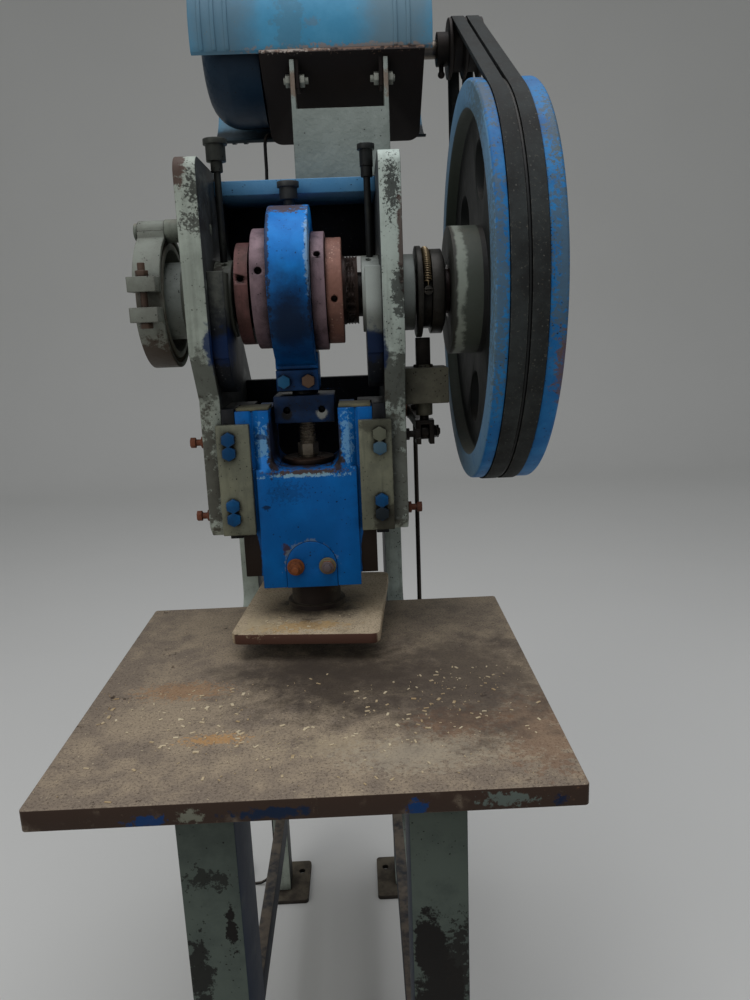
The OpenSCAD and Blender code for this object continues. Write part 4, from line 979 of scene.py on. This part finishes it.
class Drive(Assembly):
    """Crankshaft, bush, discs and ring nut."""

    coats = {
        "crankshaft": (0, Finish(
            "crankshaft_steel", (116, 80, 78), (92, 66, 62), under=(66, 50, 46), chips=0.15,
            edge_wear=0.5, spots=0.05, streaks=0.3, grime_and_shade=0.9, roughness=0.48, metallic=0.25,
            grain=Grain.TURNED, bump=0.3,
            stains_and_painted_light=patches(
                ((85, 0, AXIS), (22, 200, 200), (58, 50, 44), 0.3, 0.9)))),
        "lock_disc": (1.2, DISC_STEEL),
        "ring_nut": (1.6, Finish(
            "ring_nut_steel", (136, 98, 86), (112, 82, 74), under=(92, 62, 56), chips=0.25,
            edge_wear=0.6, spots=0.16, spot_colour=(176, 142, 126), grime_and_shade=0.9, metallic=0.3,
            grain=Grain.CAST, bump=0.6)),
        "eccentric_bush": (1.4, DISC_STEEL),
        "shaft_nut": (0.8, DARK_STEEL),
    }


class Rod(Assembly):
    """Connecting rod, its clamp and foot, and the adjusting screw."""

    coats = {
        "connecting_rod": (1.6, Finish(
            "rod_paint", (14, 128, 212), (4, 110, 192), under=(84, 74, 68), chips=0.1, edge_wear=1,
            spots=0.06, spot_colour=(14, 46, 84), grime_and_shade=0.7, roughness=0.48, bump=0.25,
            stains_and_painted_light=patches(
                ((-10, -60, 1430), (40, 50, 15), (78, 64, 60), 0.8, 0.95, 130, 0.15),
                ((-35, -90, 1360), (3, 60, 90), (40, 38, 40), 1.6, 0.85, 150),
                ((20, -90, 1330), (3, 60, 70), (30, 32, 40), 1.6, 0.85, 150),
                ((20, -90, 1360), (4, 50, 50), (150, 190, 224), 1.6, 0.6, 120),
                # Near-black, then dark blue, over the lower front of the strap and rod: painted shade,
                # darker towards the bottom.
                ((-8, -116, 1262), (60, 60, 70), (5, 16, 34), 0.4, 0.95, 24, 0.7),
                ((-8, -80, 1200), (60, 80, 35), (6, 34, 74), 0.5, 0.7, 40, 0.6)))),
        "rod_clamp_cap": (1.2, Finish(
            "clamp_cap_paint", (8, 66, 118), (6, 52, 98), under=(84, 80, 72), chips=0.14, edge_wear=1,
            spots=0.06, grime_and_shade=0.8, roughness=0.42)),
        "rod_bolts": (0.7, Finish(
            "rod_bolt_paint", (22, 84, 128), (34, 90, 126), under=(96, 88, 76), chips=0.16,
            edge_wear=0.9, grime_and_shade=0.8, roughness=0.45,
            stains_and_painted_light=patches(
                ((8, -40, 1181), (13, 30, 14), (96, 74, 58), 0.3)))),
        "rod_foot": (1.2, Finish(
            "rod_foot_paint", (10, 42, 78), (8, 26, 50), under=(18, 18, 20), chips=0.34, edge_wear=0.9,
            spots=0.1, grime_and_shade=1, roughness=0.45,
            stains_and_painted_light=patches(
                ((-26, -46, 1133), (8, 10, 8), (12, 12, 14), 0.3),
                ((26, -46, 1133), (8, 10, 8), (130, 132, 126), 0.8, 0.9)))),
        "adjusting_screw": (0, Finish(
            "screw_steel", (150, 140, 124), (112, 102, 88), under=(84, 72, 60), chips=0.16,
            edge_wear=0.8, grime_and_shade=0.35, roughness=0.42, metallic=0.5, grain=Grain.BRUSHED)),
        "rod_grease_cup": (0.8, Finish(
            "rod_cup_steel", (58, 60, 62), (74, 76, 76), chips=0.1, edge_wear=0.7, grime_and_shade=0.4,
            roughness=0.45, metallic=0.4)),
    }


class Ram(Assembly):
    """The ram with its cap, socket ring and the press plate."""

    coats = {
        "ram": (1, Finish(
            "ram_paint", (0, 98, 172), (0, 88, 158), under=(70, 56, 44), chips=0.05, edge_wear=0.9,
            spots=0.03, spot_colour=SPECKS, grime_and_shade=0.55, roughness=0.46, bump=0.25,
            stains_and_painted_light=patches(
                ((-62, -76, 1090), (9, 12, 24), PALE_BLUE, 2.1, 0.75, 210),
                ((62, -76, 1098), (9, 12, 28), PALE_BLUE, 2.1, 0.7, 210),
                ((-62, -76, 1066), (10, 12, 12), (44, 132, 220), 0.6, 0.9, 90),
                ((0, -74, 1050.5), (52, 12, 4.5), (74, 58, 46), 1.3, 0.95, 120, 0.3),
                ((0, -76, 1046.5), (50, 6, 2.6), (140, 180, 196), 1.9, 0.7, 220, 0.3),
                ((-47, -72, 1066), (8, 20, 14), (48, 37, 30), 1.2, 0.95, 130),
                ((47, -72, 1068), (8, 20, 18), (54, 42, 33), 1.2, 0.95, 130),
                ((0, 0, 1060), (49, 70, 12), (44, 34, 28), 0.8, 0.95, 60),
                ((-90, -40, 915), (15.5, 100, 60), (36, 28, 24), 0.1, 1, 50, 0.05),
                ((90, -40, 915), (15.5, 100, 60), (40, 32, 27), 0.1, 1, 50, 0.05),
                ((-66, -76, 1105), (11, 10, 4), (18, 50, 92), 0.7, 0.8, 90),
                ((-30, -76, 1022), (24, 10, 13), SPECKS, 2.4, 0.3, 200, 0.1),
                ((-63, -76, 1000), (8, 10, 3), SPECKS, 1.2, 0.8, 90),
                ((-50, -30, 1095), (4.5, 80, 45), OILY, 1, 0.9, 80),
                ((50, -30, 1095), (4.5, 80, 45), OILY, 1, 0.9, 80),
                ((-36, -76, 935), (7, 10, 7), (70, 44, 32), 1.1, 0.85, 110),
                ((0, -74, 907), (41, 4, 41.5), (126, 140, 148), 0.35, 0.55, 60, 0.03)))),
        "shank_cap": (0.8, Finish(
            "shank_cap_paint", (0, 90, 160), (0, 82, 148), chips=0.04, edge_wear=0.5, spots=0.03,
            grime_and_shade=0.4, roughness=0.4)),
        "shank_bolts": (0.7, Finish(
            "shank_bolt_metal", (150, 92, 52), (122, 72, 44), under=(82, 62, 48), chips=0.15,
            edge_wear=0.6, spots=0.08, grime_and_shade=0.7, roughness=0.55, metallic=0.2, bump=0.4,
            stains_and_painted_light=patches(
                ((24, -79, 907), (16, 3.5, 16), (116, 108, 84), 0.3),
                ((24, -94, 907), (14, 11, 14), (92, 88, 92), 0.4, 0.9)))),
        "press_plate": (1.2, Finish(
            "press_plate_steel", (196, 178, 150), (164, 148, 122), under=(92, 72, 58), chips=0.3,
            chip_scale=60, edge_wear=0.8, spots=0.03, spot_colour=(206, 188, 156), grit=0.7, grime_and_shade=0.8,
            roughness=0.66, bump=0.5,
            # Rust-brown front faces; the darker undersides are painted shade.
            tints=(Tint((0, -1, 0), (84, 58, 48)), Tint((0, 0, -1), (54, 44, 38))),
            stains_and_painted_light=patches(
                ((-20, -105, 823), (60, 18, 10), (184, 150, 98), 1.5, 0.7, 110),
                ((-80, -90, 823), (30, 30, 10), (178, 162, 132), 1.3, 0.7, 90),
                # Soft dark patch round the shank on the plate's top: a painted shadow of the ram.
                ((0, -20, 840), (75, 70, 40), (34, 29, 26), 0.6, 0.9, 30, 0.5)))),
        "ball_retainer": (0.8, Finish(
            "socket_ring_rust", (60, 43, 34), (44, 33, 28), under=(104, 86, 68), chips=0.2,
            edge_wear=0.8, grime_and_shade=0.8, metallic=0.3, bump=0.5)),
        "ram_top_plates": (0.6, Finish(
            "top_plate_paint", (118, 116, 92), (96, 94, 76), chips=0.2, edge_wear=0.8, grime_and_shade=0.5,
            roughness=0.55)),
    }


class Wheel(Assembly):
    """Flywheel, bush and belts."""

    coats = {
        "flywheel": (1.2, Finish(
            "flywheel_paint", (38, 118, 176), (24, 98, 158), under=(92, 88, 76), chips=0.26,
            chip_scale=120, edge_wear=0.9, spots=0.07, grime_and_shade=0.6, dust=0.12, grain=Grain.CAST, bump=0.3,
            tints=(Tint((-1, 0, 0), (108, 142, 166), 0.8),),
            stains_and_painted_light=patches(
                ((290, 0, AXIS), (FAR, RIM_INNER, RIM_INNER), (72, 78, 71), 0, 1, 9, 0.004),
                ((220, 0, AXIS), (45, 99, 99), (136, 144, 134), 0.1, 1, 30, 0.03),
                ((215, 0, AXIS), (10, 300, 300), (34, 32, 30), 0.3, 0.9, 60, 0.2),
                ((284, 0, AXIS), (23.5, FAR, FAR), (34, 36, 36), 0, 1, 60, 0.02),
                ((325, -200, 1470), (14, 60, 50), WORN_GREY, 1.9, 0.75, 190),
                ((325, -270, 1330), (14, 50, 100), WORN_GREY, 2, 0.7, 190),
                ((330, -260, 1200), (10, 50, 40), (104, 72, 50), 2, 0.7, 170),
                ((250, -270, 1300), (8, 50, 140), WORN_GREY, 2, 0.7, 190),
                ((250, -150, 1530), (10, 80, 50), WORN_GREY, 2, 0.7, 190)))),
        "flywheel_bush": (0.4, BRONZE),
        "v_belts": (1.2, Finish(
            "belt_rubber", (50, 54, 54), (36, 38, 38), under=(96, 96, 90), chips=0.2, chip_scale=170,
            edge_wear=0.6, spots=0.05, spot_colour=(84, 84, 80), grit=0.25, grime_and_shade=0.3, dust=0.3,
            dust_colour=(76, 76, 74), roughness=0.78, bump=0.3)),
    }


class Motor(Assembly):
    """Motor with its platform, cowl, drum hood and pulley."""

    coats = {
        "motor_platform": (1, Finish(
            "platform_steel", (34, 28, 25), (46, 35, 30), chips=0.15, spots=0.06,
            spot_colour=(90, 62, 48), grime_and_shade=0.6, roughness=0.6,
            # Darker faces that look down and forward: painted shade on the platform's underside.
            tints=(Tint((0, -0.82, -0.57), (30, 24, 22), 0.9),),
            stains_and_painted_light=patches(
                ((78, 120, 1676), (140, 6, 6), (120, 96, 82), 1.8, 0.8, 130),
                ((-10, 120, 1675), (50, 10, 5), (170, 160, 150), 1.9, 0.8, 190)))),
        "drum_hood": (0.8, Finish(
            "drum_plastic", (70, 140, 176), (80, 150, 186), under=(96, 148, 176), chips=0.1,
            chip_scale=20, edge_wear=0.3, spots=0.03, spot_colour=(120, 130, 130), grime_and_shade=0.2,
            roughness=0.38, bump=0.15,
            stains_and_painted_light=patches(
                ((-115, 150, 1720), (50, 300, 300), (92, 112, 122), 0.5, 0.75, 14, 0.6),
                ((165, 150, 1720), (50, 300, 300), (108, 124, 130), 0.5, 0.75, 14, 0.6),
                ((35, 120, 1710), (10, 50, 6), (120, 108, 96), 1.9, 0.3, 170),
                ((0, 120, 1700), (20, 50, 100), (84, 112, 124), 1.6, 0.4, 90),
                # Near-black band along the hood's lower edge: painted shade on its underside.
                ((30, 270, 1575), (FAR, 160, 40), (18, 32, 38), 0.2),
                ((80, 115, 1672), (120, 20, 7), (150, 134, 124), 1.6, 0.8, 120)))),
        "fan_cowl": (0.6, Finish(
            "cowl_paint", (20, 38, 54), (28, 46, 62), under=(90, 104, 112), chips=0.08, edge_wear=0.9,
            spots=0.04, grime_and_shade=0.5, roughness=0.4, axis_z=MOTOR_Z)),
        "motor_body": (0, Finish(
            "motor_paint", (52, 62, 76), (40, 48, 60), chips=0.15, edge_wear=0.8, grime_and_shade=0.8, dust=0.5,
            grain=Grain.CAST)),
        "motor_pulley": (0.6, Finish(
            "pulley_iron", (46, 43, 41), (60, 54, 50), under=(96, 74, 58), chips=0.2, edge_wear=0.7,
            grime_and_shade=0.7, roughness=0.55, metallic=0.3)),
        "motor_shaft": (0.5, BRIGHT_STEEL),
    }


@dataclass
class Clutch(Assembly):
    """Brake, clutch collar and the trip linkage."""

    spring_x: float = 0.1865
    spring_ring: float = 0.0594
    coil_radius: float = 0.0048
    wire_radius: float = 0.0011
    coils: int = 47

    coats = {
        "brake_band": (1, Finish(
            "brake_band_paint", (126, 131, 122), (108, 110, 102), under=(70, 54, 44), chips=0.25,
            edge_wear=0.9, spots=0.1, grime_and_shade=0.7, roughness=0.52, grain=Grain.CAST, bump=0.4,
            stains_and_painted_light=patches(
                ((-200, -60, 1215), (60, 60, 35), (58, 44, 35), 1, 0.85, 70)))),
        "brake_anchor": (0.8, GREY),
        "brake_drum": (0.8, Finish(
            "brake_drum_paint", (118, 120, 110), (92, 84, 74), under=(74, 52, 40), chips=0.2,
            spots=0.08, grime_and_shade=0.5, grain=Grain.TURNED)),
        "brake_lining": (0, Finish(
            "lining_fibre", (74, 58, 44), (56, 46, 38), spots=0.1, grime_and_shade=0.6, roughness=0.8)),
        "clutch_collar": (0.8, Finish(
            "collar_iron", (58, 56, 52), (42, 40, 37), under=(104, 100, 90), chips=0.15, edge_wear=0.9,
            spots=0.08, grime_and_shade=0.9, roughness=0.42, metallic=0.4,
            stains_and_painted_light=patches(
                ((186.5, -73, 1303), (11, 6, 11), (142, 116, 96), 0.4, 0.9)))),
        "trip_plunger": (0.8, DARK_STEEL),
        "trip_lever": (0.8, DARK_STEEL),
        "pull_rod": (0.5, DARK_STEEL),
        "pedal": (0.8, RUSTY_STEEL),
        "pivot_pins": (0.6, RUSTY_STEEL),
    }

    def details(self) -> None:
        """The tension spring as wound wire, from one pin of the collar over its top to the other."""
        spring = Finish("spring_steel", (176, 156, 122), (132, 116, 92), grime_and_shade=0.6, roughness=0.36,
                        metallic=0.6)
        x, ring, coil, steps = self.spring_x, self.spring_ring, self.coil_radius, 12
        points = [(x, ring, CRANK_Z)]
        for k in range(self.coils * steps + 1):
            share = k / (self.coils * steps)
            along, turn = math.radians(12 + 156 * share), 2 * math.pi * k / steps
            reach = ring + coil * math.cos(turn)
            points.append((x + coil * math.sin(turn), reach * math.cos(along),
                           CRANK_Z + reach * math.sin(along)))
        points.append((x, -ring, CRANK_Z))
        piece = Shop.settle(Shop.wire(points, self.wire_radius), "clutch_spring_wire", 60)
        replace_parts(Shop.coat(piece, spring), "clutch_spring")
        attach(piece, "crank")


@dataclass
class PowerLead:
    """The motor's cable with its clips, the coil of its spare length and its plug."""

    radius: float = 0.003
    coil_centre: tuple[float, float] = (-0.250, 0.402)
    inner: float = 0.027
    outer: float = 0.0331
    layer: float = 0.0061
    rest: float = 0.0033
    plug_x: float = -0.292

    def route(self) -> list[Point]:
        """The cable's points from the gland to the coil, as the part's source has them.

        Returns:
            The points in metres.
        """
        rows = [
            (37.7, 326, 1631.7), (30, 326, 1631), (18, 326, 1628.6), (2, 324.1, 1619.6),
            (-14, 317.5, 1608.1), (-28, 304.8, 1598.7), (-40, 290.5, 1591.8), (-50, 275.3, 1587.4),
            (-57, 260.6, 1584), (-60, 250, 1577), (-61, 244, 1566), (-61, 242, 1550),
            (-61, 242.5, 1525), (-62, 242, 1502), (-66, 238, 1481), (-74, 231, 1462), (-86, 223, 1445),
            (-101, 215, 1430), (-118, 207, 1415), (-134, 201, 1398), (-146, 196, 1378),
            (-151.6, 190, 1354), (-152.6, 183, 1330), (-152.6, 176, 1305), (-152.6, 175, 1280),
            (-152.6, 181, 1255), (-152.6, 196, 1228), (-152.6, 218, 1200), (-152.6, 250, 1168),
            (-152.6, 282, 1136), (-152.6, 310, 1107), (-152.6, 332, 1080), (-152.6, 348, 1050),
            (-152.6, 357, 1015),
            *((-152.6, 360, z) for z in (970, 900, 800, 700, 600, 450, 300, 200)),
            (-153, 360.5, 110), (-154.5, 361.5, 72), (-159, 363, 46), (-167.5, 364.6, 27),
            (-178.5, 366, 13.5), (-190.5, 367.2, 6), (-202, 368.2, 3.6), (-211, 368.8, 3.4),
            (-229.4, 368.9, 3.4)]
        return [(x * MM, y * MM, z * MM) for x, y, z in rows]

    @staticmethod
    def ease(turn: float, start: float, end: float) -> float:
        """How far a change has come that runs from one count of turns to another, from 0 to 1."""
        share = min(1.0, max(0.0, (turn - start) / (end - start)))
        return share * share * (3 - 2 * share)

    def turns(self) -> list[Point]:
        """The coil's points: three turns, the last of them on the others, then the way to the plug.

        Returns:
            The points in metres.
        """
        cx, cy = self.coil_centre
        count, steps = 3, 24
        points = []
        for k in range(count * steps + 1):
            turn = k / steps
            inwards = self.ease(turn, 0.625, 1.0) - self.ease(turn, 2.0, 2.375)
            radius = self.outer + (self.inner - self.outer) * inwards
            level = self.ease(turn, 1.333, 1.625) + self.ease(turn, 2.667, 3.0)
            angle = -math.pi / 2 - 2 * math.pi * turn
            points.append((cx + radius * math.cos(angle), cy + radius * math.sin(angle),
                           self.rest + level * self.layer))
        y, top = cy - self.outer, self.rest + 2 * self.layer
        for x, drop in ((6, 0), (14, 0.2), (22, 1.2), (30, 3.6), (37, 5.8), (43, 6.5)):
            points.append((cx - x * MM, y, top - drop * MM))
        return points

    def build(self) -> None:
        """Makes the cable, its clips and its plug."""
        rubber = Finish("cable_sheath", (24, 24, 25), (34, 33, 33), grime_and_shade=0.3, roughness=0.55,
                        dust=0.4, bump=0.15)
        points = self.route() + self.turns()
        cable = Shop.coat(Shop.line("power_cable_line", points, self.radius), rubber)
        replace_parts(cable, "power_cable", "cable_coil")
        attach(cable, "frame")
        plug = self.plug()
        clips = Shop.coat(Shop.refined("cable_clips", 0.0005), DARK_STEEL)

    def plug(self) -> bpy.types.Object:
        """The plug at the cable's end: a ribbed relief, a body with grips and two pins.

        Returns:
            The plug's body, which the cable carries.
        """
        x, y, low, pin_z = self.plug_x, self.coil_centre[1] - self.outer, 0.009, 0.013
        wide, grip, rib = 0.014, 0.0008, 0.0024
        parts = [Shop.box((x - 0.056, y - wide, 0.0002), (x - 0.010, y + wide, 0.026), 0.003),
                 Shop.rod((x, y, low), (x - 0.012, y, low), 0.0045, 0.0004, 20, 1.4)]
        for k in range(4):
            start = x - 0.002 - rib * k
            parts.append(Shop.rod((start, y, low), (start - 0.0014, y, low), 0.0056 + 0.0004 * k,
                                  0.0003, 20))
        for side in (y - wide, y + wide):
            for k in range(6):
                end = x - 0.020 - 0.0045 * k
                low_corner, high_corner = (end - 0.002, side - grip, 0.005), (end, side + grip, 0.021)
                parts.append(Shop.box(low_corner, high_corner, 0.0004))
        piece = Shop.settle(Shop.join(parts), "plug_body", 40)
        plastic = Finish("plug_plastic", (30, 30, 31), (38, 37, 36), roughness=0.45, dust=0.3, bump=0.1)
        Shop.coat(piece, plastic)
        pair = [Shop.rod((x - 0.055, side, pin_z), (x - 0.074, side, pin_z), 0.0023, 0.0006, 16)
                for side in (y - 0.007, y + 0.007)]
        pins = Shop.settle(Shop.join(pair), "plug_pins", 40)
        Shop.coat(pins, Finish("pin_brass", (176, 148, 92), (150, 124, 76), roughness=0.3, metallic=0.9,
                               bump=0.05))
        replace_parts(piece, "plug")
        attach(piece, "frame")
        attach(pins, "frame")
        return piece


@dataclass
class Studio:
    """Camera, lamps, floor and backdrop."""

    place: Point = (0.081, -1.203, 1.264)
    pitch: float = 12.94
    roll: float = -2.21
    yaw: float = 0.92
    lens: float = 28.08
    floor_size: tuple[float, float] = (120, 24)
    floor_y: float = -7.2
    curve_radius: float = 1.6
    curve_steps: int = 12
    wall: float = 5

    def camera(self) -> None:
        """Sets the camera at the photograph's place and angle."""
        p, r, w = (math.radians(a) for a in (self.pitch, self.roll, self.yaw))
        ahead, side = Vector((math.sin(w), math.cos(w), 0)), Vector((math.cos(w), -math.sin(w), 0))
        up = Vector((0, 0, 1))
        look = ahead * math.cos(p) - up * math.sin(p)
        lift = up * math.cos(p) + ahead * math.sin(p)
        across = side * math.cos(r) + lift * math.sin(r)
        top = lift * math.cos(r) - side * math.sin(r)
        data = bpy.data.cameras.new("camera")
        data.sensor_width, data.lens = 36.0, self.lens
        data.clip_start, data.clip_end = 0.05, 60
        camera = bpy.data.objects.new("camera", data)
        bpy.context.scene.collection.objects.link(camera)
        turn = Matrix((across, top, -look)).transposed().to_4x4()
        camera.matrix_world = Matrix.Translation(self.place) @ turn
        bpy.context.scene.camera = camera

    @staticmethod
    def lamp(name: str, place: Point, target: Point, size: float, watts: float, colour: Rgb) -> None:
        """Hangs a square soft lamp that looks at a target.

        Args:
            name: Name of the lamp.
            place: Where it hangs.
            target: What it looks at.
            size: Length of its side in metres.
            watts: Its power.
            colour: Its light's colour.
        """
        data = bpy.data.lights.new(name, "AREA")
        data.shape, data.size, data.energy = "SQUARE", size, watts
        data.color = linear(colour)[:3]
        lamp = bpy.data.objects.new(name, data)
        bpy.context.scene.collection.objects.link(lamp)
        lamp.location = place
        lamp.rotation_mode = "QUATERNION"
        lamp.rotation_quaternion = (Vector(target) - Vector(place)).to_track_quat("-Z", "Y")

    def floor(self) -> None:
        """A pale floor that curves up into a backdrop behind the machine."""
        steps, radius = self.curve_steps, self.curve_radius
        bpy.ops.object.select_all(action="DESELECT")
        bpy.ops.mesh.primitive_plane_add(size=1, location=(0, 0, 0))
        floor = bpy.context.active_object
        floor.scale = (*self.floor_size, 1)
        floor.location = (0, self.floor_y, 0)
        bpy.ops.object.transform_apply(location=True, rotation=True, scale=True)
        bpy.ops.object.mode_set(mode="EDIT")
        bpy.ops.mesh.select_mode(type="EDGE")
        bpy.ops.mesh.select_all(action="DESELECT")
        bpy.ops.object.mode_set(mode="OBJECT")
        rear = max(v.co.y for v in floor.data.vertices)
        for edge in floor.data.edges:
            edge.select = all(abs(floor.data.vertices[i].co.y - rear) < 0.001 for i in edge.vertices)
        bpy.ops.object.mode_set(mode="EDIT")
        for k in range(steps):
            a0, a1 = math.pi / 2 * k / steps, math.pi / 2 * (k + 1) / steps
            move = (0, radius * (math.sin(a1) - math.sin(a0)), radius * (math.cos(a0) - math.cos(a1)))
            bpy.ops.mesh.extrude_region_move(TRANSFORM_OT_translate={"value": move})
        bpy.ops.mesh.extrude_region_move(TRANSFORM_OT_translate={"value": (0, 0, self.wall)})
        bpy.ops.object.mode_set(mode="OBJECT")
        Shop.settle(floor, "studio_floor", 60)
        shader = Shader("studio_paper")
        tone = shader.mix(shader.noise(shader.place, 1.2, 2), (214, 214, 211), (219, 219, 216))
        rough = shader.noise(shader.place, 3.0, 2) * 0.1 + 0.75
        fibres = shader.noise(shader.place, 40.0, 2)
        floor.data.materials.append(shader.close(tone, rough, 0.0, fibres, 0.02))

    def build(self) -> None:
        """Makes the floor, the lamps and the world's light."""
        self.floor()
        self.lamp("sky_panel", (0.1, -0.5, 4.0), (0.0, 0.1, 0.9), 3.4, 84, (250, 251, 255))
        self.lamp("front_panel", (-2.4, -3.2, 2.4), (0.0, 0.0, 1.0), 2.2, 22, (255, 252, 246))
        world = bpy.data.worlds.new("studio_world")
        bpy.context.scene.world = world
        world.use_nodes = True
        light = world.node_tree.nodes["Background"]
        light.inputs["Color"].default_value = (0.92, 0.94, 0.96, 1)
        light.inputs["Strength"].default_value = 0.26


def main() -> None:
    """Builds the studio, the cable and then each sub-assembly."""
    logging.basicConfig(level=logging.INFO, format="%(message)s")
    bpy.context.scene.view_settings.view_transform = "Standard"
    studio = Studio()
    studio.camera()
    PowerLead().build()
    for group in (SideFrame(), Stand(), Guides(), Drive(), Rod(), Ram(), Wheel(), Motor(), Clutch()):
        group.build()
        LOG.info("%s is dressed", type(group).__name__)
    studio.build()


if __name__ == "__main__":
    main()
